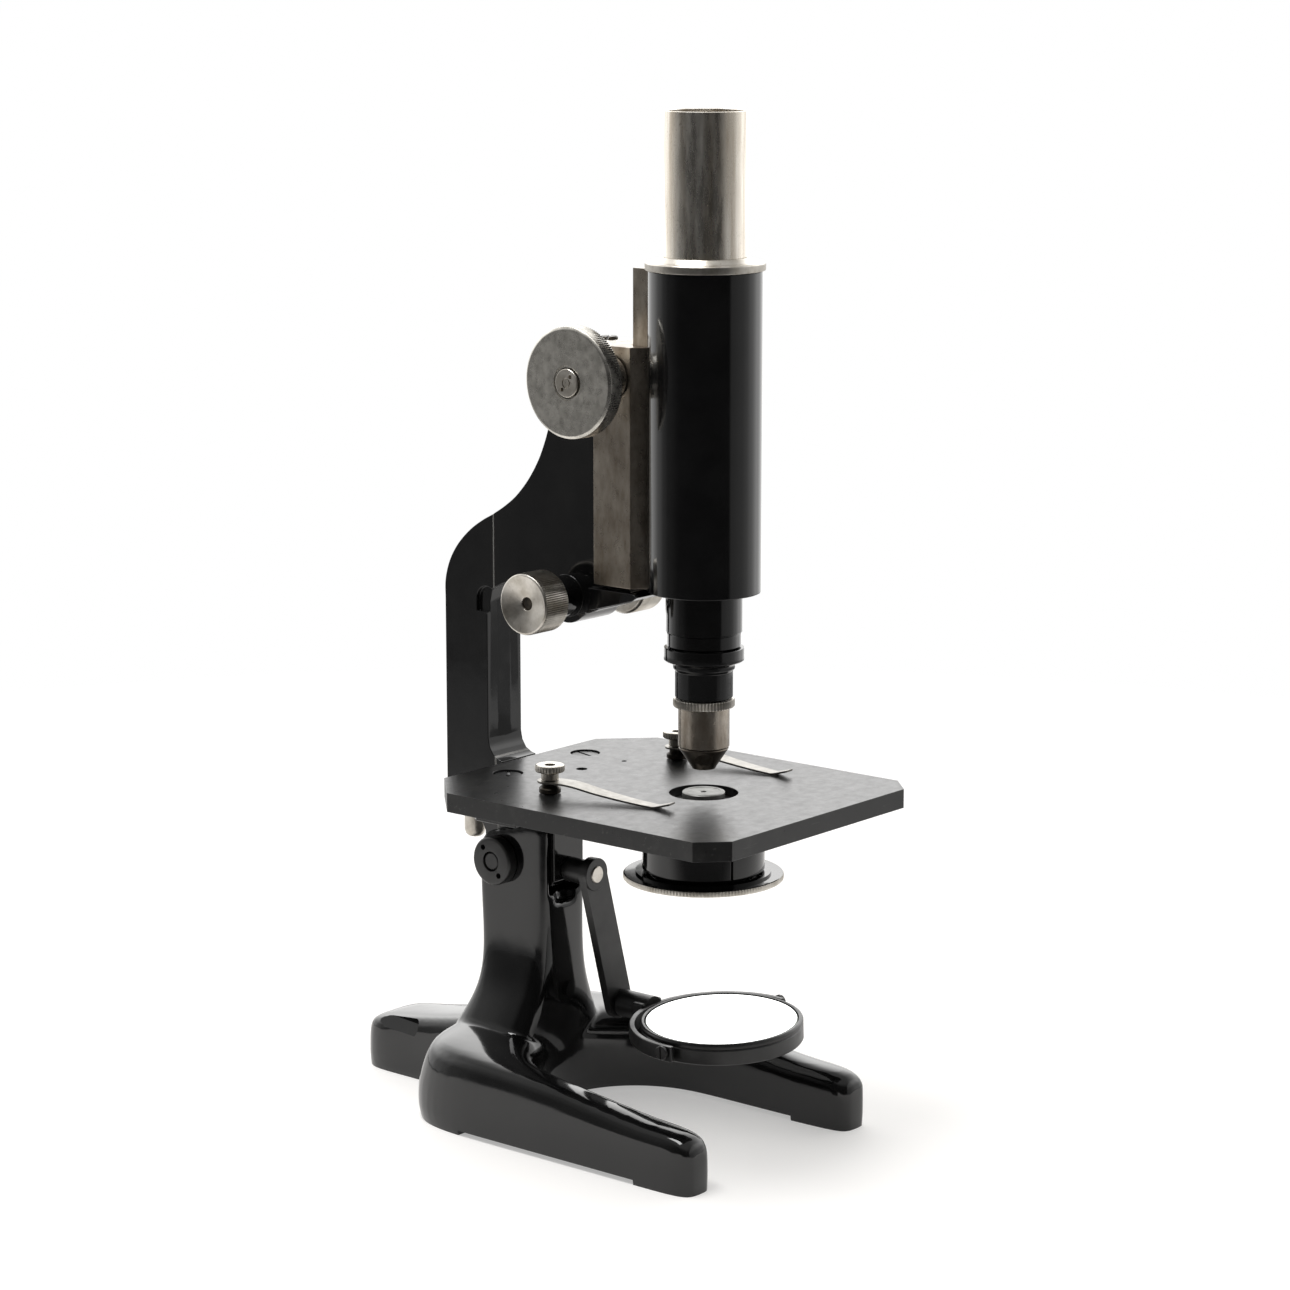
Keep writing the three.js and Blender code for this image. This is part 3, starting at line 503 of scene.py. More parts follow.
def stage_lacquer():
    """Matt black stage top, with slide marks and pale wear."""
    finish = Finish("stage_black", 0.0)
    worn = finish.levels(finish.noise(11, detail=8, roughness=0.7), 0.52, 0.74)
    dark = finish.between(worn, (0.006, 0.006, 0.006), (0.02, 0.0195, 0.0185))
    streak = finish.levels(finish.noise(1.6, detail=6, where=finish.stretched(0.07, 1, 1)), 0.64, 0.7)
    finish.colour(finish.between(streak, dark, (0.03, 0.0295, 0.028)))
    finish.roughness(finish.levels(finish.noise(4, detail=8, roughness=0.7), 0.3, 0.75, 0.26, 0.4))
    grain = finish.relief(finish.noise(0.6, detail=5), 0.014, 0.5)
    finish.relief(finish.noise(0.5, detail=3, where=finish.stretched(0.1, 1, 1)), 0.01, 0.4, over=grain)
    return finish.material


def blackened_brass():
    finish = Finish("blackened_brass", 0.75)
    worn = finish.levels(finish.noise(2.2, detail=6, roughness=0.65), 0.4, 0.72)
    finish.colour(finish.between(worn, (0.02, 0.018, 0.016), (0.085, 0.07, 0.052)))
    finish.roughness(finish.levels(finish.noise(1.5, detail=5), 0.3, 0.7, 0.28, 0.5))
    finish.relief(finish.noise(0.3, detail=3), 0.006, 0.5)
    return finish.material


def plated(name, light, dark, stain, roughest, where=(1, 1, 1), size=6.0):
    """Satin nickel: cloudy patina, small brown stains and fine rubbing marks."""
    finish = Finish(name, 1.0)
    cloud = finish.levels(finish.noise(size, detail=7, roughness=0.62, where=finish.stretched(*where)),
                          0.36, 0.66)
    plate = finish.between(cloud, light, dark)
    spotted = finish.levels(finish.noise(1.1, detail=5, roughness=0.7), 0.6, 0.74)
    heavy = finish.levels(finish.noise(9, detail=3), 0.42, 0.66)
    finish.colour(finish.between(finish.math("MULTIPLY", spotted, heavy), plate, stain))
    finish.roughness(finish.levels(finish.noise(2.5, detail=7, roughness=0.65), 0.28, 0.74, roughest - 0.14,
                                   roughest))
    rubbed = finish.relief(finish.noise(0.35, detail=3, where=finish.stretched(1, 0.15, 1)), 0.005, 0.35)
    finish.relief(finish.noise(0.2, detail=2), 0.003, 0.4, over=rubbed)
    return finish.material


def drawn_nickel():
    """The drawtube: nickel rubbed up and down, so that its patina lies in upright bands."""
    finish = Finish("drawtube_nickel", 1.0)
    bands = finish.levels(finish.noise(4.5, detail=6, roughness=0.6, where=finish.stretched(1, 1, 0.06)),
                          0.36, 0.66)
    plate = finish.between(bands, (0.86, 0.82, 0.75), (0.5, 0.44, 0.36))
    freckles = finish.levels(finish.noise(0.8, detail=5, roughness=0.75), 0.58, 0.72)
    patch = finish.levels(finish.noise(12, detail=3), 0.45, 0.62)
    finish.colour(finish.between(finish.math("MULTIPLY", freckles, patch), plate, (0.2, 0.16, 0.12)))
    finish.roughness(finish.levels(finish.noise(2, detail=6, where=finish.stretched(1, 1, 0.2)), 0.3, 0.7,
                                   0.2, 0.36))
    finish.relief(finish.noise(0.3, detail=3, where=finish.stretched(1, 1, 0.05)), 0.004, 0.5)
    return finish.material


def silvered_glass():
    """A front of clear plate over silver, with a few pinholes in the silver."""
    finish = Finish("silvered_glass", 1.0)
    aged = finish.levels(finish.noise(3, detail=6, roughness=0.7), 0.55, 0.8)
    silver = finish.between(aged, (0.93, 0.94, 0.935), (0.86, 0.875, 0.865))
    finish.colour(finish.between(finish.specks(4, 0.12, 0.06), silver, (0.25, 0.25, 0.23)))
    finish.roughness(finish.levels(finish.noise(5), 0.3, 0.7, 0.02, 0.05))
    return finish.material


def glass_edge():
    """The ground edge of plate glass, pale green."""
    finish = Finish("ground_glass_edge", 0.0)
    chipped = finish.levels(finish.noise(1.2, detail=5), 0.4, 0.65)
    finish.colour(finish.between(chipped, (0.42, 0.5, 0.42), (0.62, 0.66, 0.58)))
    finish.roughness(finish.levels(finish.noise(0.8), 0.3, 0.7, 0.25, 0.4))
    return finish.material


def lens_glass():
    finish = Finish("lens_glass", 0.0, ior=1.52)
    finish.shader.inputs["Transmission Weight"].default_value = 0.9
    haze = finish.levels(finish.noise(2), 0.3, 0.7)
    finish.colour(finish.between(haze, (0.85, 0.9, 0.9), (0.8, 0.86, 0.87)))
    finish.roughness(finish.levels(finish.noise(1.5), 0.3, 0.7, 0.03, 0.07))
    return finish.material


NICKEL = plated("satin_nickel", (0.62, 0.59, 0.54), (0.4, 0.37, 0.32), (0.16, 0.12, 0.08), 0.4)
ENAMEL_TUBE = tube_enamel()
STAGE_BLACK = stage_lacquer()
DRAWN_NICKEL = drawn_nickel()
GLASS_EDGE = glass_edge()
WHEEL_NICKEL = plated("wheel_nickel", (0.64, 0.615, 0.565), (0.4, 0.385, 0.35), (0.12, 0.095, 0.07), 0.36,
                      size=3.5)
CLIP_NICKEL = plated("clip_nickel", (0.3, 0.285, 0.26), (0.21, 0.2, 0.18), (0.16, 0.12, 0.08), 0.42, size=3)
DARK_BRONZE = plated("dark_bronze", (0.2, 0.175, 0.145), (0.12, 0.1, 0.08), (0.06, 0.045, 0.035), 0.4,
                     size=2.5)
OBJECTIVE_NICKEL = plated("objective_nickel", (0.5, 0.45, 0.39), (0.32, 0.265, 0.21), (0.14, 0.1, 0.07),
                          0.3,
                          where=(1, 1, 0.3), size=4)
CAP_GREY = plated("cap_grey", (0.3, 0.3, 0.29), (0.2, 0.2, 0.19), (0.12, 0.11, 0.1), 0.6, size=3)
LOOKS = {
    "enamel": gloss_enamel(),
    "satin_black": satin_lacquer(),
    "blackened": blackened_brass(),
    "nickel": NICKEL,
    "warm_nickel": plated("warm_nickel", (0.43, 0.385, 0.33), (0.2, 0.165, 0.13), (0.1, 0.075, 0.05), 0.38,
                          where=(1, 1, 0.4), size=7),
    "steel": plated("nickel_silver", (0.74, 0.71, 0.64), (0.58, 0.53, 0.45), (0.28, 0.22, 0.15), 0.34,
                    size=3),
    "mirror_glass": silvered_glass(),
    "lens": lens_glass(),
}
for node_name, node in frame["nodes"].items():
    node.data.materials.clear()
    node.data.materials.append(LOOKS["blackened" if node_name == "fine_spindle" else SLOT_OF[node_name]])


# ---------- foot ----------
LEG_OUTER = 46.5
LEG_INNER = 32.5
ARCH_R = 32
ARCH_Y = 26
TOE_Y = -31
WALL_H = 17
BELOW = -9  # how far the rough casting runs below the table before its sole is cut flat
SLOT_HALF = 7.4
SLOT_FLOOR = 70.6
HINGE = Vector(JOINTS["inclination"]["pos_m"])
HINGE_Y = (HINGE.y - OPTIC.y) / MM
HINGE_Z = HINGE.z / MM
CASTING_VOXEL = 0.85


def leg_section(outer, inner, crown):
    """An upright section of the leg: outer wall, rounded crown and inner wall."""
    rounding = [(0, BELOW), (0, WALL_H * 0.6), (0.02, WALL_H * 0.84), (0.09, crown * 0.93), (0.24, crown),
                (0.5, crown * 1.01), (0.76, crown), (0.91, crown * 0.93), (0.98, crown * 0.8),
                (1, crown * 0.55), (1, BELOW)]
    section = []
    for t, z in rounding:
        x = outer[0] + (inner[0] - outer[0]) * t
        y = outer[1] + (inner[1] - outer[1]) * t
        section.append((x, y, z))
    return section


def horseshoe():
    """Both legs and the round heel that joins them, as one swept bar."""
    left = [((-43.2, TOE_Y), (-35.8, TOE_Y), 12.5),
            ((-45.2, TOE_Y + 1.6), (-33.8, TOE_Y + 1.6), 16.2),
            ((-LEG_OUTER, TOE_Y + 6), (-LEG_INNER, TOE_Y + 6), 18.3)]
    left += [((-LEG_OUTER, y), (-ARCH_R, y), 20 + y * 0.12) for y in (-10, 0, 13, 26)]
    heel = [(-LEG_OUTER, 50), (-LEG_OUTER, 70), (-42.5, 84.5), (-31, 91), (-15, 92)]
    for step, outer in enumerate(heel):
        t = math.radians(180 - (step + 1) * 15)
        inner = (ARCH_R * math.cos(t), ARCH_Y + ARCH_R * math.sin(t))
        left.append((outer, inner, 24.3 + step * 0.9))
    middle = ((0, 93), (0, ARCH_Y + ARCH_R), 28.8)
    right = [((-a[0], a[1]), (-b[0], b[1]), crown) for a, b, crown in reversed(left)]
    return skinned("foot", [leg_section(*station) for station in [*left, middle, *right]])


def spur():
    rows = [(76, 16, 28), (90, 15, 25.4), (100, 14.3, 23.5), (112, 13.5, 21), (126, 13.5, 18.8),
            (132, 12.4, 17.8), (135.6, 9.5, 15.6), (137, 6.5, 12.5)]
    shape = [(-1, None), (-1, 0.6), (-0.95, 0.86), (-0.8, 0.98), (-0.4, 1)]
    sections = []
    for y, half, top in rows:
        left = [(x * half, y, BELOW if z is None else z * top) for x, z in shape]
        sections.append(left + [(-x, y, z) for x, y, z in reversed(left)])
    return skinned("spur", sections)


def pillar():
    """The pillar's plan is a rounded rectangle that spreads as it goes down into the legs."""
    rows = [(BELOW, 31, 58.2, 92, 10), (6, 30, 58.2, 92, 10), (14, 28.6, 58.1, 92, 10),
            (20, 25.2, 57.6, 91.6, 9),
            (25, 21.8, 57, 90, 8), (31, 18.6, 56.6, 87, 7), (38, 15, 56.4, 84.6, 6),
            (46, 12.2, 56.3, 84.2, 5),
            (56, 11, 56.3, 84.5, 4), (66, 10.7, 56.3, 85, 3.4), (76, 10.5, 56.3, 85.3, 3),
            (84, 10.4, 56.3, 85.3, 3), (93.6, 10.4, 56.3, 85.3, 3), (94.2, 10.4, 56.3, 85.3, 3)]
    sections = []
    for z, half, front, rear, corner in rows:
        plan = (arc(half - corner, rear - corner, corner, 0, 90, 3)
                + arc(corner - half, rear - corner, corner, 90, 180, 3)
                + arc(corner - half, front + corner, corner, 180, 270, 3)
                + arc(half - corner, front + corner, corner, 270, 360, 3))
        sections.append([(x, y, z) for x, y in plan])
    return skinned("pillar", sections)


def cheek_top_tool():
    top = 94.4
    outline = [(50, top + 5), (50, top - 3.4), (58.3, top - 1), (62, top - 0.8)]
    outline += arc(HINGE_Y, HINGE_Z, 9.7, 82, 0, 14) + [(90, HINGE_Z), (90, top + 5)]
    return side_outlined("tool", outline, -20, 20)


def foot():
    """The one-piece casting: horseshoe, spur and pillar run together and smoothed, then cut flat below."""
    casting = horseshoe()
    upright = pillar()
    rear = spur()
    for part in (casting, upright, rear):
        apply(part, "SUBSURF", levels=2, render_levels=2)
    cut(upright, cheek_top_tool())
    cut(upright, block("tool", (-SLOT_HALF, SLOT_HALF), (40, 110), (SLOT_FLOOR, 120)))
    drill(upright, 5, 67.4, 120, y=54.8)
    pick(casting)
    upright.select_set(True)
    rear.select_set(True)
    bpy.ops.object.join()
    apply(casting, "REMESH", mode="VOXEL", voxel_size=CASTING_VOXEL * MM)
    apply(casting, "SMOOTH", factor=0.5, iterations=7)
    put(casting, at=from_optic(0, 0, 0))
    edge = OPTIC.y / MM
    cut(casting, block("tool", (-70, 70), (edge - 60, edge + 160), (-40, 0)))
    cut(casting, block("tool", (-70, 70), (edge - 10, edge + 62), (-5, 1.6)))
    cut(casting, block("tool", (-9, 9), (edge + 84, edge + 116), (-5, 1.6)))
    cut(casting, spur_recess_tool())
    dress(casting, "foot_casting")


def spur_recess_tool():
    """The shallow stadium-shaped recess on the spur's shoulder."""
    tool = rod("tool", 3.1, -1.9, 6)
    select_where(tool, lambda v: v.co.y > -1e-9)
    bpy.ops.transform.translate(value=(0, 12.5 * MM, 0))
    done()
    return put(tool, at=from_optic(-12.7, 113, 17.9), turn=(0, math.radians(-42), 0))


def hinge():
    nut_rings = [(3.25, 0), (7.9, 0), (7.9, 2.9), (7.6, 3.4), (6.9, 3.7), (3.25, 3.7)]
    for side in ("left", "right"):
        nut = turned("hinge_ring_" + side, nut_rings, bored=True)
        soften(nut, 0.18)
        for sign in (1, -1):
            drill(nut, 0.95, 1.8, 6, x=sign * 5.35, sides=24)
        spin_on_axis(nut, 38 if side == "left" else 142)
        place(nut, "hinge_nut_" + side, side)
    pin = turned("hinge_pin", [(2.5, -14.1), (3.1, -13.5), (3.1, 13.5), (2.5, 14.1), (1.9, 14.1),
                               (1.9, 13.7)], SMALL)
    put(pin, HINGE, TURNS["right"])
    dress(pin, "hinge_axle", look=LOOKS["satin_black"])


# ---------- limb and head ----------
LIMB_HALF = 8.0
COLUMN_FRONT = 82.0
COLUMN_ROUNDING = 5.5
TONGUE_HALF = 7.0
HEAD_HALF = 8.4
SEAM_Y = 79.0
# Enamel for the limb and the head, with a painted highlight along the seam between them.
SEAM_HIGHLIGHT_ENAMEL = gloss_enamel("seamed_black_enamel", OPTIC.y + (SEAM_Y - 0.15) * MM)
UNDER_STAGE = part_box("stage_plate")[0].z / MM - 0.3
HEAD_FRONT = 35.3


def limb():
    back = flowing([(100, 150), (100, 156), (100, 162), (99.9, 168.6), (97.9, 175.1), (94.2, 180.8),
                    (89, 185.8),
                    (83.8, 189.3), (SEAM_Y, 191.8)])
    column = [(100, 94), *back, (SEAM_Y, 168.2), (81, 167), (COLUMN_FRONT, 163), (COLUMN_FRONT, 119),
              (81.4, 116), (79.8, 113.6),
              (77.6, 112.4), (75.8, 112), (75.8, 94)]
    casting = side_outlined("limb_casting", column, -LIMB_HALF, LIMB_HALF)
    points = casting.data.vertices

    def long_front_edge(edge):
        ends = [points[i].co / MM for i in edge.vertices]
        return all(abs(end.y - COLUMN_FRONT) < 0.1 for end in ends) and abs(ends[0].z - ends[1].z) > 40

    select_where(casting, long_front_edge, "edges")
    bpy.ops.mesh.bevel(offset=COLUMN_ROUNDING * MM, segments=6)
    done()
    tongue = [(99, 92.4), (99.9, 94.6), (99.9, UNDER_STAGE - 1), (55, UNDER_STAGE - 1), (55, 75.6),
              (57.4, 73.6)]
    tongue += arc(HINGE_Y, HINGE_Z, 8.8, 215, 360, 24) + [(HINGE_Y + 8.8, 88), (87, 92.4)]
    fuse(casting, side_outlined("tongue", tongue, -TONGUE_HALF, TONGUE_HALF))
    platform = [(-25, 55.4), (25, 55.4), (25, 72), (14, 86), (-14, 86), (-25, 72)]
    fuse(casting, outlined("platform", platform, 96.5, UNDER_STAGE))
    for side in (-1, 1):
        pocket = arc(0, 0, 4.2, 0, 180, 16) + [(-4.2, -4.2), (4.2, -4.2)]
        tool = side_outlined("tool", [(82.2 + y, 164 + z) for y, z in pocket], -1.5, 1.5)
        cut(casting, put(tool, at=(side * LIMB_HALF * MM, 0, 0)))
    soften(casting, 1.1, segments=4, angle=50)
    put(casting, at=from_optic(0, 0, 0))
    dress(casting, "limb", look=SEAM_HIGHLIGHT_ENAMEL)


def focusing_head():
    back = flowing([(SEAM_Y - 0.3, 191.9), (73.7, 195), (68.7, 198.9), (63.7, 204.5), (59.7, 210.7),
                    (57.2, 216.2),
                    (55.5, 221), (53, 229), (51, 242)])
    outline = [*back, (HEAD_FRONT, 242), (HEAD_FRONT, 166.2), (39, 164.6)]
    outline += arc(48.1, 169.2, 8.6, 212, 322, 20)
    outline += flowing([(56.4, 166.2), (59.5, 169.2), (64, 170.8), (72, 171), (SEAM_Y - 0.3, 168.2)])
    casting = side_outlined("head_casting", outline, -HEAD_HALF, HEAD_HALF)
    toe = [(HEAD_FRONT + 2, 173.2), (19.6, 173.2), (17.8, 172.2), (19.6, 171), (HEAD_FRONT + 2, 166)]
    fuse(casting, side_outlined("toe", toe, -10.8, 10.8))
    boss = put(rod("boss", 6.6, -17.3, 17.3, 64), at=(0, 48.1 * MM, 169.2 * MM), turn=TURNS["right"])
    fuse(casting, boss)
    soften(casting, 0.7, segments=3, angle=40)
    put(casting, at=from_optic(0, 0, 0))
    dress(casting, "focus_head", look=SEAM_HIGHLIGHT_ENAMEL)


def stage():
    low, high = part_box("stage_plate")
    half = (high.x - low.x) / 2 / MM
    front = (low.y - OPTIC.y) / MM
    rear = (high.y - OPTIC.y) / MM
    outline = [(-half + 8.2, front), (half - 8.2, front), (half, front + 8.2), (half, rear - 14.5),
               (half - 14.5, rear), (-half + 14.5, rear), (-half, rear - 14.5), (-half, front + 8.2)]
    plate = outlined("stage_table", outline, low.z / MM, high.z / MM)
    drill(plate, 10.7, 90, 130, sides=PLAIN)
    for side in (-1, 1):
        cut(plate, put(turned("tool", [(2.4, 100), (2.4, 108.6), (4.8, 111), (4.8, 114)], SMALL),
                       at=(side * 18.7 * MM, 64 * MM, 0)))
        drill(plate, 0.85, 108, 114, side * 17.4, 46.5, sides=24)
        drill(plate, 1.9, 107, 114, side * 31, 35.7, sides=24)
    drill(plate, 1.8, 108, 114, 0.4, 49.8, sides=32)
    soften(plate, 0.3, segments=3, angle=30)
    put(plate, at=from_optic(0, 0, 0))
    dress(plate, "stage_plate", look=STAGE_BLACK)
    for side, angle in (("left", 40), ("right", 75)):
        stage_screw(side, angle)


def stage_screw(side, angle):
    screw = turned("countersunk_screw_" + side,
                   [(1.9, 0), (1.9, 10.4), (4.4, 13), (4.4, 13.3), (4.2, 13.5)], SMALL)
    cut(screw, block("tool", (-6, 6), (-0.5, 0.5), (12.5, 15)))
    soften(screw, 0.08)
    spin_on_axis(screw, angle)
    place(screw, "stage_screw_" + side)


def stop_screw():
    screw = turned("stop_button", [(1.2, 0), (2.2, 0.3), (3.05, 1.1), (3.5, 2.6), (3.5, 8.3), (3.3, 8.6),
                                   (1.4, 8.6),
                                   (1.4, 16)], SMALL)
    place(screw, "stop_screw")


# ---------- substage ----------
SLEEVE_LOW = 88.2


def substage():
    top = UNDER_STAGE - SLEEVE_LOW
    sleeve = turned("sleeve", [(16.4, 0), (18.7, 0), (19, 0.3), (19, 15.1), (19.6, 15.6), (21, 16),
                               (21, top),
                               (16.4, top)], PLAIN, bored=True)
    cut(sleeve, put(block("tool", (-0.35, 0.35), (-30, -10), (-8, 14)), turn=(0, 0, math.radians(-24))))
    soften(sleeve, 0.12)
    place(sleeve, "substage_sleeve", look=ENAMEL_TUBE)

    tube = turned("carrier_tube", [(15, 0), (16.1, 0), (16.1, 15.7), (15.6, 16.2), (6.3, 17.1), (6.3, 20.2),
                                   (10.1, 20.9), (10.3, 21.2), (10.3, 22), (6.9, 22), (6.9, 21.4),
                                   (5.3, 21.4), (5.3, 16.1), (15, 14.5)], PLAIN, bored=True)
    place(tube, "diaphragm_tube")

    sides = 2 * 150
    disc = turned("carrier_disc", [(16.6, 0), (24.3, 0), (24.7, 0.15), (24.9, 0.4), (24.9, 1.5),
                                   (24.7, 1.75),
                                   (24.3, 1.9), (21, 1.9), (21, 2.6), (16.6, 2.6)], sides, bored=True)
    knurl(disc, 24.9, 0.3, 1.6, 0.3, sides)
    place(disc, "diaphragm_disc")
    disc.data.materials.append(ENAMEL_TUBE)
    for face in disc.data.polygons:
        if face.normal.z > 0.5 or (face.center - OPTIC).xy.length < 22 * MM:
            face.material_index = 1

    cap = turned("pinhole_cap", [(0.9, 0.3), (0.9, 0), (6.6, 0), (6.6, 2.1), (6.45, 2.3), (6.2, 2.4),
                                 (5.2, 2.4),
                                 (5.1, 2.3), (1.6, 2.3), (0.9, 2.1)], PLAIN, bored=True)
    place(cap, "diaphragm_cap", look=CAP_GREY)


# ---------- focusing slide and knobs ----------
SLIDE_HALF = 6.0


def bearing_block():
    low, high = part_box("bearing_block")
    half = (high.x - low.x) / 2 / MM
    groove = SLIDE_HALF + 0.4
    left = [(-half, 34.9), (-half, 20.2), (-7.1, 16.3), (-groove, 16.3), (-groove, 23.6), (-3.2, 23.6),
            (-3.2, 26.6)]
    outline = left + [(-x, y) for x, y in reversed(left)]
    body = outlined("nickel_block", outline, low.z / MM, high.z / MM)
    cut(body, put(rod("tool", 3.6, -30, 30), at=(0, 28.1 * MM, 239.3 * MM), turn=TURNS["right"]))
    soften(body, 0.25)
    dress(put(body, at=from_optic(0, 0, 0)), "bearing_block")


def head_cap():
    low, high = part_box("head_cap")
    cap = block("cap_plate", (low.x / MM, high.x / MM), (low.y / MM, high.y / MM),
                (low.z / MM, high.z / MM))
    screw_at, _ = seat("head_cap_screw", "up")
    cut(cap, put(rod("tool", 2.95, -0.3, 6), at=screw_at))
    soften(cap, 0.2)
    dress(cap, "head_cap")
    screw = turned("cap_screw", [(2.8, 0), (2.8, 1.3), (2.5, 1.7)], SMALL)
    cut(screw, block("tool", (-5, 5), (-0.4, 0.4), (1.1, 3)))
    soften(screw, 0.08)
    place(spin_on_axis(screw, 30), "head_cap_screw")


def slide_bar():
    low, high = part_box("slide_bar")
    bar = block("slide_dovetail", (-SLIDE_HALF, SLIDE_HALF), (15, 23.2), (low.z / MM, high.z / MM))
    drill(bar, 17.7, 170, 290, sides=FINE)
    soften(bar, 0.2)
    dress(put(bar, at=from_optic(0, 0, 0)), "slide_bar")


COARSE_TEETH = 136
FINE_TEETH = 88


def coarse_knob(side):
    """A flat disc with a straight knurl, a bright chamfer and a nut let into its face."""
    sides = 2 * COARSE_TEETH
    rings = [(3.1, 0), (7, 0), (7, 11.6), (7.4, 12.1), (15.6, 12.9), (16.4, 13.2), (17, 13.9), (17, 18.3),
             (16.85, 18.8), (16.2, 19.35), (15.9, 19.4), (5.3, 19.4), (5.2, 19.15), (4.8, 19.1),
             (4.6, 18.2),
             (3.1, 18.2)]
    knob = turned("coarse_wheel_" + side, rings, sides, bored=True)
    knurl(knob, 17, 13.8, 18.4, 0.2, sides)
    place(knob, "coarse_knob_" + side, side, WHEEL_NICKEL)

    nut = turned("coarse_face_nut_" + side, [(4.35, 0), (4.35, 1.15), (4.2, 1.35), (4, 1.4)], SMALL)
    for sign in (1, -1):
        drill(nut, 0.62, 0.2, 3, x=sign * 2.55, sides=24)
    cut(nut, turned("tool", [(1.2, 1.1), (1.55, 1.1), (1.55, 2), (1.2, 2)], SMALL, bored=True))
    soften(nut, 0.07)
    spin_on_axis(nut, -38 if side == "left" else 218)
    place(nut, "coarse_nut_" + side, side)


def fine_knob(side):
    """A deep drum with a straight knurl and a dished face."""
    sides = 2 * FINE_TEETH
    rings = [(2.6, 0), (8.6, 0), (9.1, 0.3), (9.6, 0.9), (9.6, 10.4), (9.45, 10.8), (9.1, 11.15),
             (8.9, 11.2),
             (8.6, 11.1), (2.3, 9.5), (2.1, 9.3), (2.1, 6.5), (2.6, 6.5)]
    knob = turned("fine_wheel_" + side, rings, sides, bored=True)
    knurl(knob, 9.6, 0.8, 10.5, 0.22, sides)
    place(knob, "fine_knob_" + side, side)


# ---------- tube and objective ----------
def tube_piece(node, name, rings, sides=PLAIN, look=None, teeth=None):
    """A bored piece turned about the optical axis.

    Teeth gives its knurl: how many, their radius, the two heights between which they run, and their depth."""
    if teeth:
        sides = 2 * teeth[0]
    piece = turned(name, rings, sides, bored=True)
    if teeth:
        knurl(piece, *teeth[1:], sides)
    return place(piece, node, look=look)


def tube():
    high = (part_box("body_tube")[1].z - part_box("body_tube")[0].z) / MM
    tube_piece("body_tube", "main_tube", [(15.8, 0.6), (16.2, 0), (17.1, 0), (17.3, 0.1), (17.4, 0.4),
                                          (17.4, high), (15.8, high)], FINE, ENAMEL_TUBE)
    tube_piece("top_collar", "knurled_collar",
               [(12.6, 0), (18, 0), (18.2, 0.2), (18.2, 1.8), (18, 2.1), (17.5, 2.5),
                                                (14.7, 2.5), (13.6, 3.7), (13.3, 3.9), (12.6, 3.9)],
               teeth=(150, 18.2, 0.1, 1.9, 0.2))
    tube_piece("guide_sleeve", "guide_tube", [(12.6, 0), (15.5, 0), (15.5, 40.2), (12.6, 40.2)])
    tube_piece("nose_tube", "nose", [(9.8, 0), (11.1, 0), (11.4, 0.3), (11.4, 4), (11.25, 4.2),
                                     (11.25, 4.4),
                                     (11.6, 4.5), (11.8, 4.7), (11.8, 17.8), (15.5, 17.8), (15.5, 25.8),
                                     (9.8, 25.8)],
               look=ENAMEL_TUBE)
    tube_piece("nose_ring", "nose_clamp_ring",
               [(9.2, 0.6), (11.5, 0), (11.9, 0.05), (12.3, 0.35), (12.4, 0.6),
                                                (12.4, 3.8), (12.25, 4.15), (11.9, 4.3), (9.2, 4.3)],
               look=ENAMEL_TUBE)
    tube_piece("nose_adapter", "objective_adapter",
               [(6.4, 0), (8.6, 0), (8.9, 0.3), (8.9, 8.2), (9.0, 8.6), (9.4, 9),
                                                     (9.5, 9.4), (9.5, 10.4), (9.8, 10.8), (10.2, 11.2),
                (6.4, 11.2)],
               look=ENAMEL_TUBE)
    tube_piece("objective_ring", "objective_collar",
               [(5.8, 0), (9.2, 0), (9.5, 0.3), (9.5, 2.1), (9.2, 2.5),
                                                      (5.8, 2.5)], teeth=(58, 9.5, 0.2, 2.2, 0.4))
    tube_piece("objective_barrel", "objective_body",
               [(5.2, 0), (7.7, 0), (7.9, 0.2), (7.9, 12), (7.8, 12.2),
                                                      (5.2, 12.2)], look=OBJECTIVE_NICKEL)


def objective_tip():
    """The cone at the end of the objective, with a round scoop in one side and a thin turned lip."""
    cone = turned("objective_tip", [(2.1, 0), (3.5, 0), (3.7, 0.15), (3.75, 0.4), (7.5, 6.1), (7.7, 6.4),
                                    (7.6, 6.7),
                                    (5, 6.7), (2.1, 2.7)], PLAIN, bored=True)
    scoop = put(rod("tool", 2.9, 4.6, 12, SMALL), at=(0, 0, 2.8 * MM), turn=TURNS["front"])
    cut(cone, put(scoop, turn=(0, 0, math.radians(-50.5))))
    soften(cone, 0.1)
    place(cone, "objective_cone", look=DARK_BRONZE)
    for node, name, radius, thick in (("front_lens", "front_lens_disc", 1.9, 1.4),
                                      ("rear_lens", "rear_lens_disc", 4.9, 2)):
        lens = turned(name, [(radius, 0), (radius, thick), (radius * 0.7, thick + 0.12),
                             (radius * 0.3, thick + 0.18)],
                      SMALL)
        place(lens, node)


def drawtube():
    low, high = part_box("drawtube")
    top = (high.z - low.z) / MM
    tube_piece("drawtube", "draw_tube", [(11.6, 0), (12.3, 0), (12.5, 0.2), (12.5, top - 0.35),
                                         (12.4, top - 0.1),
                                         (12.2, top), (11.9, top), (11.7, top - 0.1), (11.6, top - 0.3)],
               FINE, DRAWN_NICKEL)
    tube_piece("drawtube_diaphragm", "draw_tube_stop",
               [(6, 0.2), (6.2, 0), (11.3, 0), (11.3, 2.5), (6.6, 2.5)])


# ---------- stage clips ----------
CLIP_TURNS = {"left": 8.9, "right": 3.3}
CLIP_THICK = 0.6


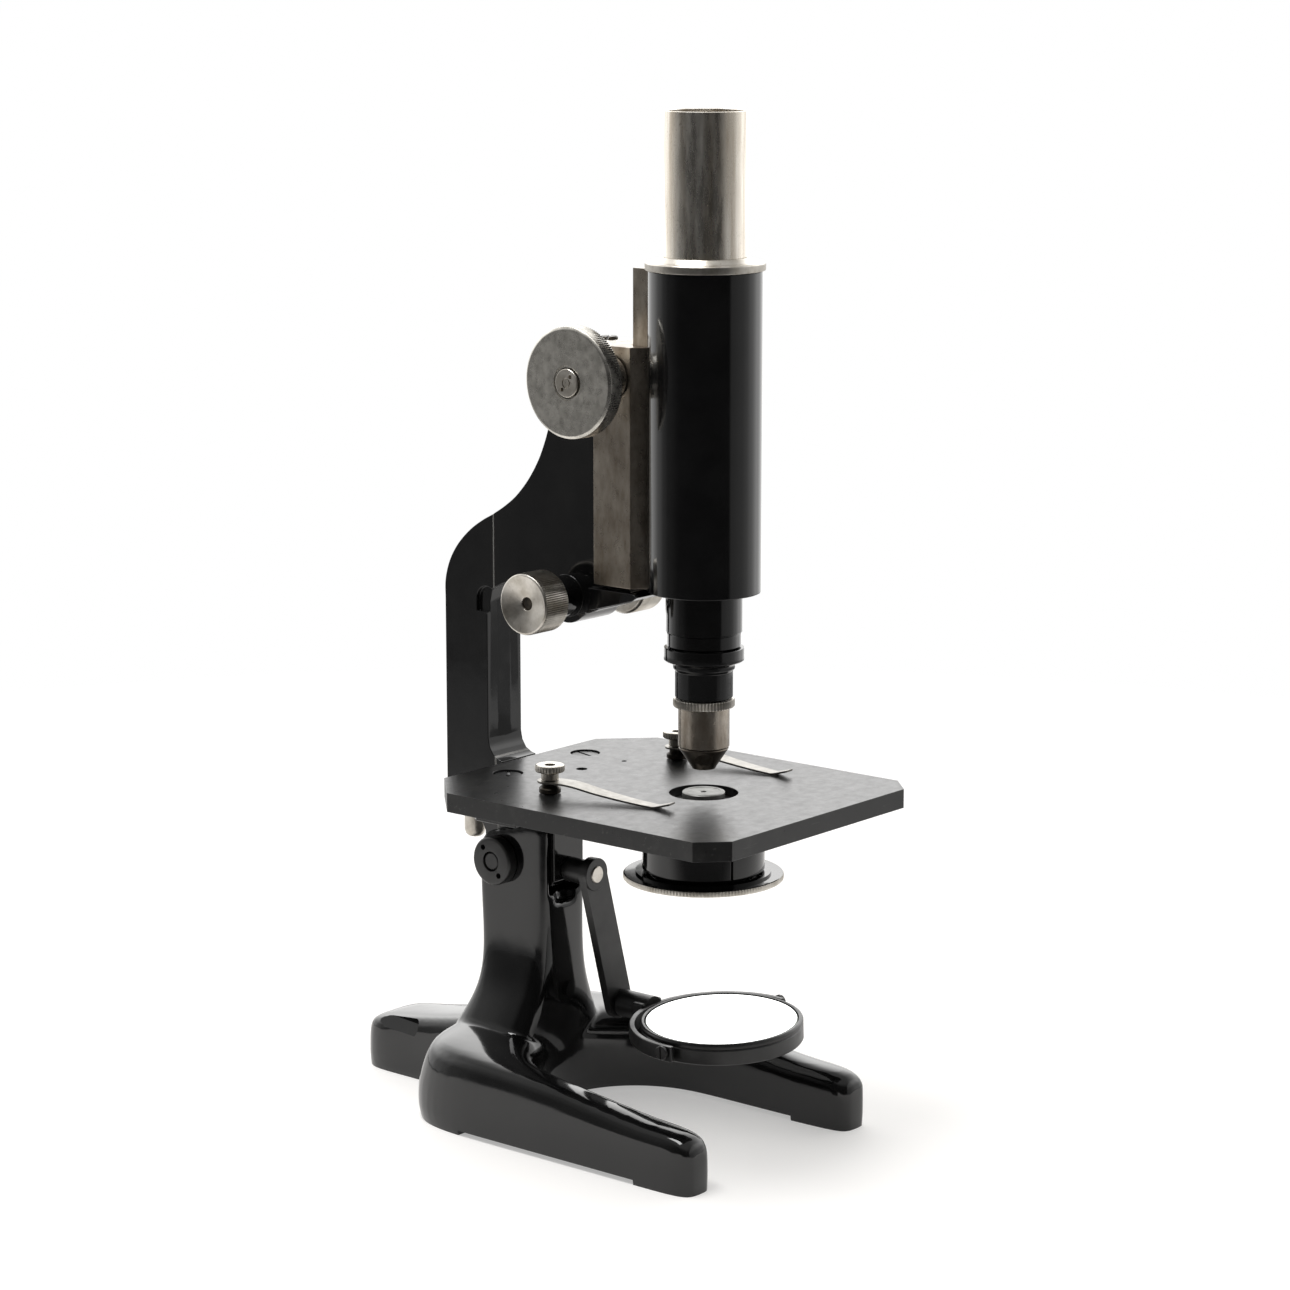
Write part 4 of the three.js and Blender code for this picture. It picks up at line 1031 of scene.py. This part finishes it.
def clip(side):
    """A sprung strip on a blackened post, held by a knurled nickel screw."""
    post_at, _ = seat("clip_post_" + side, "up")
    post = turned("post_" + side, [(1.7, 0), (1.7, 4.9), (3.2, 4.9), (3.4, 5.1), (3.4, 6.3), (3.1, 6.7),
                                   (2.5, 7.1),
                                   (2.5, 7.8), (2.2, 7.9), (1.6, 7.9), (1.6, 10.7), (1.4, 10.8)], SMALL)
    place(post, "clip_post_" + side)

    sides = 2 * 30
    screw = turned("clip_button_" + side,
                   [(1.7, 0), (2.7, 0), (2.7, 1.9), (3.1, 2.3), (4.3, 2.5), (4.6, 2.8), (4.6, 4.2),
                                           (4.45, 4.45), (4.2, 4.6), (3.2, 4.6), (1.7, 4.5)], sides,
                   bored=True)
    knurl(screw, 4.6, 2.7, 4.3, 0.22, sides)
    place(screw, "clip_screw_" + side)

    rows = flowing([(-1, 6.6, 115.6), (5, 6.8, 115.7), (10, 6.6, 115.4), (18, 6, 114.1), (28, 5, 112.9),
                    (36, 4.3, 112.25), (38.5, 4, 112.3), (43.5, 3.2, 113.7)], steps=4)
    sections = []
    for out, width, low in rows:
        half = width / 2
        high = low + CLIP_THICK
        sections.append([(-half, -out, low), (half, -out, low), (half, -out, high), (-half, -out, high)])
    strip = skinned("clip_spring_" + side, sections)
    fuse(strip, rod("eye", 3.9, 115.6, 116.2, 64))
    drill(strip, 1.7, 110, 120, sides=32)
    soften(strip, 0.1, angle=50)
    at = Vector((post_at.x, post_at.y, 0))
    dress(put(strip, at, (0, 0, math.radians(CLIP_TURNS[side]))), "clip_strip_" + side, look=CLIP_NICKEL)


# ---------- mirror ----------
ARM_PIVOT = Vector(JOINTS["mirror_arm_swing"]["pos_m"])
STEM = Vector(JOINTS["mirror_fork_turn"]["pos_m"])
MIRROR = Vector(JOINTS["mirror_tilt"]["pos_m"])
TILT_AXIS = JOINTS["mirror_tilt"]["axis"]
ROLL = (0, -math.atan2(TILT_AXIS[2], TILT_AXIS[0]), 0)
SWING = (0, -math.atan2(STEM.x - ARM_PIVOT.x, ARM_PIVOT.z - STEM.z), 0)
ARM_HALF = 5.2
RING_R = 25.8
FORK_R = 29.2


def mirror_bracket():
    stud = turned("bracket_stud", [(1.9, 0), (4, 0), (4, 7.7), (3.7, 8.1), (1.9, 8.1)], SMALL, bored=True)
    place(stud, "mirror_bracket", "front")
    low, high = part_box("arm_screw")
    long = (high.y - low.y) / MM
    pin = turned("pivot_pin", [(1.8, 0), (1.8, long - 1.1), (2.75, long - 1.1), (2.75, long - 0.25),
                               (2.5, long)], SMALL)
    place(pin, "arm_screw", "front")


def mirror_arm():
    """A flat link with round ends, and a raised ring round its pivot."""
    length = (Vector((ARM_PIVOT.x, 0, ARM_PIVOT.z)) - Vector((STEM.x, 0, STEM.z))).length / MM
    outline = arc(0, 0, ARM_HALF, 0, 180, 24) + arc(0, -length, ARM_HALF, 180, 360, 24)
    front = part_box("mirror_arm")[0].y / MM
    link = outlined("mirror_link", outline, 0, 2.8)
    fuse(link, put(turned("head", [(5.3, 0), (5.3, 3.05), (5.15, 3.2)], 64)))
    drill(link, 1.9, -5, 8, sides=32)
    drill(link, 3.5, -5, 0.9)
    cut(link, turned("tool", [(4.1, -1), (4.4, -1), (4.4, 0.25), (4.1, 0.25)], SMALL, bored=True))
    drill(link, 2.6, -5, 8, y=-length)
    soften(link, 0.3, segments=3, angle=40)
    put(link, turn=TURNS["front"])
    put(link, at=(0, -min(v.co.y for v in link.data.vertices), 0))
    put(link, turn=SWING)
    put(link, at=(ARM_PIVOT.x, front * MM, ARM_PIVOT.z))
    dress(link, "mirror_arm")


def mirror_fork():
    """The half hoop that holds the mirror, with its stem and the flat-topped boss behind it."""
    inner = RING_R + 1.6
    span = arc(0, 0, FORK_R, -6, 186, 72) + arc(0, 0, inner, 186, -6, 72)
    hoop = outlined("mirror_hoop", span, -2.9, 2)
    soften(hoop, 0.35, segments=3, angle=50)
    put(hoop, at=MIRROR)
    boss = block("boss", (-5, 5), (28.2, 33), (-4.2, 3))
    soften(boss, 0.8, segments=3)
    cut(boss, rod("tool", inner, -10, 10, FINE))
    put(boss, at=MIRROR)
    stem_from = MIRROR.y / MM + 28
    stem_to = ARM_PIVOT.y / MM + 3.6
    stem = turned("stem", [(2.5, -stem_to), (2.5, -42.8 - OPTIC.y / MM), (4.4, -42.8 - OPTIC.y / MM),
                           (4.4, -stem_from)],
                  SMALL)
    put(stem, at=(STEM.x, 0, STEM.z), turn=TURNS["front"])
    fuse(hoop, boss)
    fuse(hoop, stem)
    for side in (-1, 1):
        cut(hoop, put(rod("tool", 1.3, 20, 40, 24), at=MIRROR, turn=TURNS["right" if side > 0 else "left"]))
    roll_about_stem(hoop)
    dress(hoop, "mirror_fork")


def roll_about_stem(piece):
    put(piece, at=(-MIRROR.x, 0, -MIRROR.z))
    put(piece, turn=ROLL)
    return put(piece, at=(MIRROR.x, 0, MIRROR.z))


def mirror():
    """The turned cell, with a groove round it, and the two glasses in it."""
    cell = turned("mirror_cell", [(22.6, -2.4), (23.2, -2.9), (25.1, -4), (25.5, -3.9), (25.8, -3.5),
                                  (25.8, 0.7),
                                  (25.6, 0.9), (25.5, 1.05), (25.6, 1.2), (25.8, 1.4), (25.8, 2.2),
                                  (25.6, 2.6),
                                  (25.2, 2.85), (24.9, 2.9), (24.4, 2.75), (24.4, 1.1), (22.6, 1.1)], FINE,
                  bored=True)
    dress(put(cell, MIRROR, ROLL), "mirror_ring")
    flat = turned("flat_glass", [(23.95, 1.4), (24.1, 1.5), (24.1, 2.35), (23.75, 2.6)], FINE)
    put(flat, MIRROR, ROLL)
    dress(flat, "mirror_flat")
    flat.data.materials.append(GLASS_EDGE)
    for face in flat.data.polygons:
        if abs(face.normal.z) < 0.9:
            face.material_index = 1
    dish = turned("concave_glass", [(22.3, 0.8), (22.3, -2.3), (22, -2.4), (19, -1.9), (15, -1.32),
                                    (10, -0.86), (5, -0.66),
                                    (1, -0.6)], FINE)
    dress(put(dish, MIRROR, ROLL), "mirror_concave")
    for side in ("left", "right"):
        screw = turned("fork_screw_head_" + side, [(1.2, 24.4), (1.2, FORK_R + 0.2), (2.1, FORK_R + 0.2),
                                                   (2.2, FORK_R + 0.35), (2.2, FORK_R + 1.2),
                                                   (2, FORK_R + 1.4)], 32)
        cut(screw, block("tool", (-3, 3), (-0.25, 0.25), (FORK_R + 0.9, FORK_R + 3)))
        put(screw, turn=TURNS[side])
        dress(put(screw, MIRROR, ROLL), "fork_screw_" + side, look=LOOKS["satin_black"])


# ---------- floor, light and camera ----------
BACK = Vector((0.7705, 0.6374, 0))  # the way that the camera looks, on plan
RIGHT = Vector((0.6374, -0.7705, 0))
UP = (0, 0, 1)
WHITE = (1, 1, 1)
LIGHT_TINT = (1, 0.995, 0.985)
# How bright the walls are from the near side (0) to the far side (1), as shares of WALL_FULL
WALL_STOPS = [(0.0, 0.02), (0.18, 0.02), (0.4, 0.09), (0.5, 0.18), (0.62, 0.4), (0.8, 0.75), (1.0, 1.0)]
WALL_FULL = 2.8
WALL_LOW = 0.66  # share of it near the floor, and higher up
WALL_HIGH = 1.2
WALL_RISE = (0.12, 0.4)  # where it changes, as the height of a direction
SIDE_LIGHT = 0.5
SIDE_EDGE = (0.74, 0.8)
CEILING = 0.55
CEILING_EDGE = (0.45, 0.85)
FLOOR_R = 0.72
FLOOR_COLOUR = (0.62, 0.605, 0.59, 1)
FLOOR_ROUGHNESS = 0.7
FLOOR_GLOW = 0.4
RIM_GLOW = 1.05
RIM_FADE = (0.4, 0.97)  # shares of FLOOR_R between which the floor turns into plain light
DIM_FROM = 0.16  # how far toward the near side the floor starts to look dim in polish, and is dim
DIM_TO = 0.34
FAR_FADE = (0.52, 0.72)  # shares of FLOOR_R between which it looks dim in polish all round
FAR_DIM = 0.72
DIM_GLOW = 0.12
CAMERA_AT = (-0.8392, -0.7168, 0.3686)
CAMERA_PITCH = 11.08
CAMERA_LENS = 100.0
SENSOR_WIDTH = 36


def ramp(nodes, value, stops):
    """A grey level for each value, eased between stops of (place, level)."""
    curve = nodes.node("ShaderNodeValToRGB")
    curve.color_ramp.interpolation = "EASE"
    nodes.link(value, curve.inputs["Fac"])
    elements = curve.color_ramp.elements
    elements[1].position = 1.0
    for place_on_ramp, _ in stops[1:-1]:
        elements.new(place_on_ramp)
    for element, (_, level) in zip(elements, stops):
        element.color = (level, level, level, 1)
    return curve.outputs["Color"]


def studio_world():
    """A white room that is bright behind the instrument, dim in front of it, and plain white to look at."""
    world = bpy.data.worlds.new("studio")
    bpy.context.scene.world = world
    world.use_nodes = True
    world.node_tree.nodes.clear()
    room = Nodes(world.node_tree)
    way = room.node("ShaderNodeTexCoord").outputs["Generated"]
    walls = ramp(room, room.levels(room.along(way, BACK), -1, 1), WALL_STOPS)
    side = room.levels(room.along(way, RIGHT), *SIDE_EDGE, 0, SIDE_LIGHT, steps="SMOOTHSTEP")
    rise = room.levels(room.along(way, UP), *WALL_RISE, WALL_LOW, WALL_HIGH, steps="SMOOTHSTEP")
    level = room.math("ADD", room.math("MULTIPLY", walls, WALL_FULL), side)
    level = room.math("MULTIPLY", level, rise)
    blend = room.node("ShaderNodeMix", data_type="FLOAT")
    room.link(room.levels(room.along(way, UP), *CEILING_EDGE, steps="SMOOTHSTEP"), blend.inputs["Factor"])
    room.link(level, blend.inputs["A"])
    blend.inputs["B"].default_value = CEILING
    lit = room.glow("ShaderNodeBackground", LIGHT_TINT, blend.outputs["Result"])
    seen = room.glow("ShaderNodeBackground", WHITE, 1.0)
    rays = room.node("ShaderNodeLightPath")
    surface = room.node("ShaderNodeOutputWorld").inputs["Surface"]
    room.link(room.mixed(rays.outputs["Is Camera Ray"], lit, seen), surface)


def studio_floor():
    """A pale disc that runs out into plain light. Polished pieces see it dim in front and far out."""
    bpy.ops.object.select_all(action="DESELECT")
    bpy.ops.mesh.primitive_circle_add(vertices=96, radius=FLOOR_R, fill_type="NGON", location=(0, 0, 0))
    floor = bpy.context.object
    floor.name = "floor"
    material = bpy.data.materials.new("pale_floor")
    material.use_nodes = True
    paint = Nodes(material.node_tree)
    shader = paint.tree.nodes["Principled BSDF"]
    shader.inputs["Base Color"].default_value = FLOOR_COLOUR
    shader.inputs["Roughness"].default_value = FLOOR_ROUGHNESS
    shader.inputs["Emission Color"].default_value = (*LIGHT_TINT, 1)
    shader.inputs["Emission Strength"].default_value = FLOOR_GLOW
    where = paint.node("ShaderNodeTexCoord").outputs["Object"]
    length = paint.node("ShaderNodeVectorMath", operation="LENGTH")
    paint.link(where, length.inputs[0])
    out = length.outputs["Value"]
    fade = paint.levels(out, *(FLOOR_R * share for share in RIM_FADE), steps="SMOOTHSTEP")
    rim = paint.glow("ShaderNodeEmission", WHITE, RIM_GLOW)
    plain = paint.mixed(fade, shader.outputs["BSDF"], rim)
    dim = paint.levels(paint.along(where, -BACK), DIM_FROM, DIM_TO, steps="SMOOTHSTEP")
    far = paint.levels(out, *(FLOOR_R * share for share in FAR_FADE), 0, FAR_DIM)
    rays = paint.node("ShaderNodeLightPath")
    polish = paint.math("MULTIPLY", paint.math("MAXIMUM", dim, far), rays.outputs["Is Glossy Ray"])
    dark = paint.glow("ShaderNodeEmission", WHITE, DIM_GLOW)
    surface = paint.tree.nodes["Material Output"].inputs["Surface"]
    paint.link(paint.mixed(polish, plain, dark), surface)
    floor.data.materials.append(material)


def softbox(name, at, aim, width, height, power):
    light = bpy.data.lights.new(name, "AREA")
    light.shape = "RECTANGLE"
    light.size = width
    light.size_y = height
    light.energy = power
    lamp = bpy.data.objects.new(name, light)
    bpy.context.scene.collection.objects.link(lamp)
    lamp.location = at
    lamp.rotation_euler = (Vector(aim) - Vector(at)).to_track_quat("-Z", "Y").to_euler()


def camera():
    data = bpy.data.cameras.new("camera")
    data.sensor_width = SENSOR_WIDTH
    data.lens = CAMERA_LENS
    data.clip_start = 0.05
    data.clip_end = 20
    cam = bpy.data.objects.new("camera", data)
    bpy.context.scene.collection.objects.link(cam)
    cam.location = CAMERA_AT
    pitch = math.radians(90 - CAMERA_PITCH)
    heading = math.atan2(BACK.y, BACK.x) - math.pi / 2
    cam.rotation_euler = (pitch, 0, heading)
    bpy.context.scene.camera = cam


foot()
hinge()
limb()
focusing_head()
stage()
stop_screw()
substage()
bearing_block()
head_cap()
slide_bar()
for side in ("left", "right"):
    coarse_knob(side)
    fine_knob(side)
    clip(side)
tube()
objective_tip()
drawtube()
mirror_bracket()
mirror_arm()
mirror_fork()
mirror()
studio_world()
studio_floor()
softbox("overhead", (-0.25, 0.1, 0.95), (0, 0, 0.05), 0.5, 0.35, 6)
camera()
bpy.context.scene.view_settings.view_transform = "Standard"
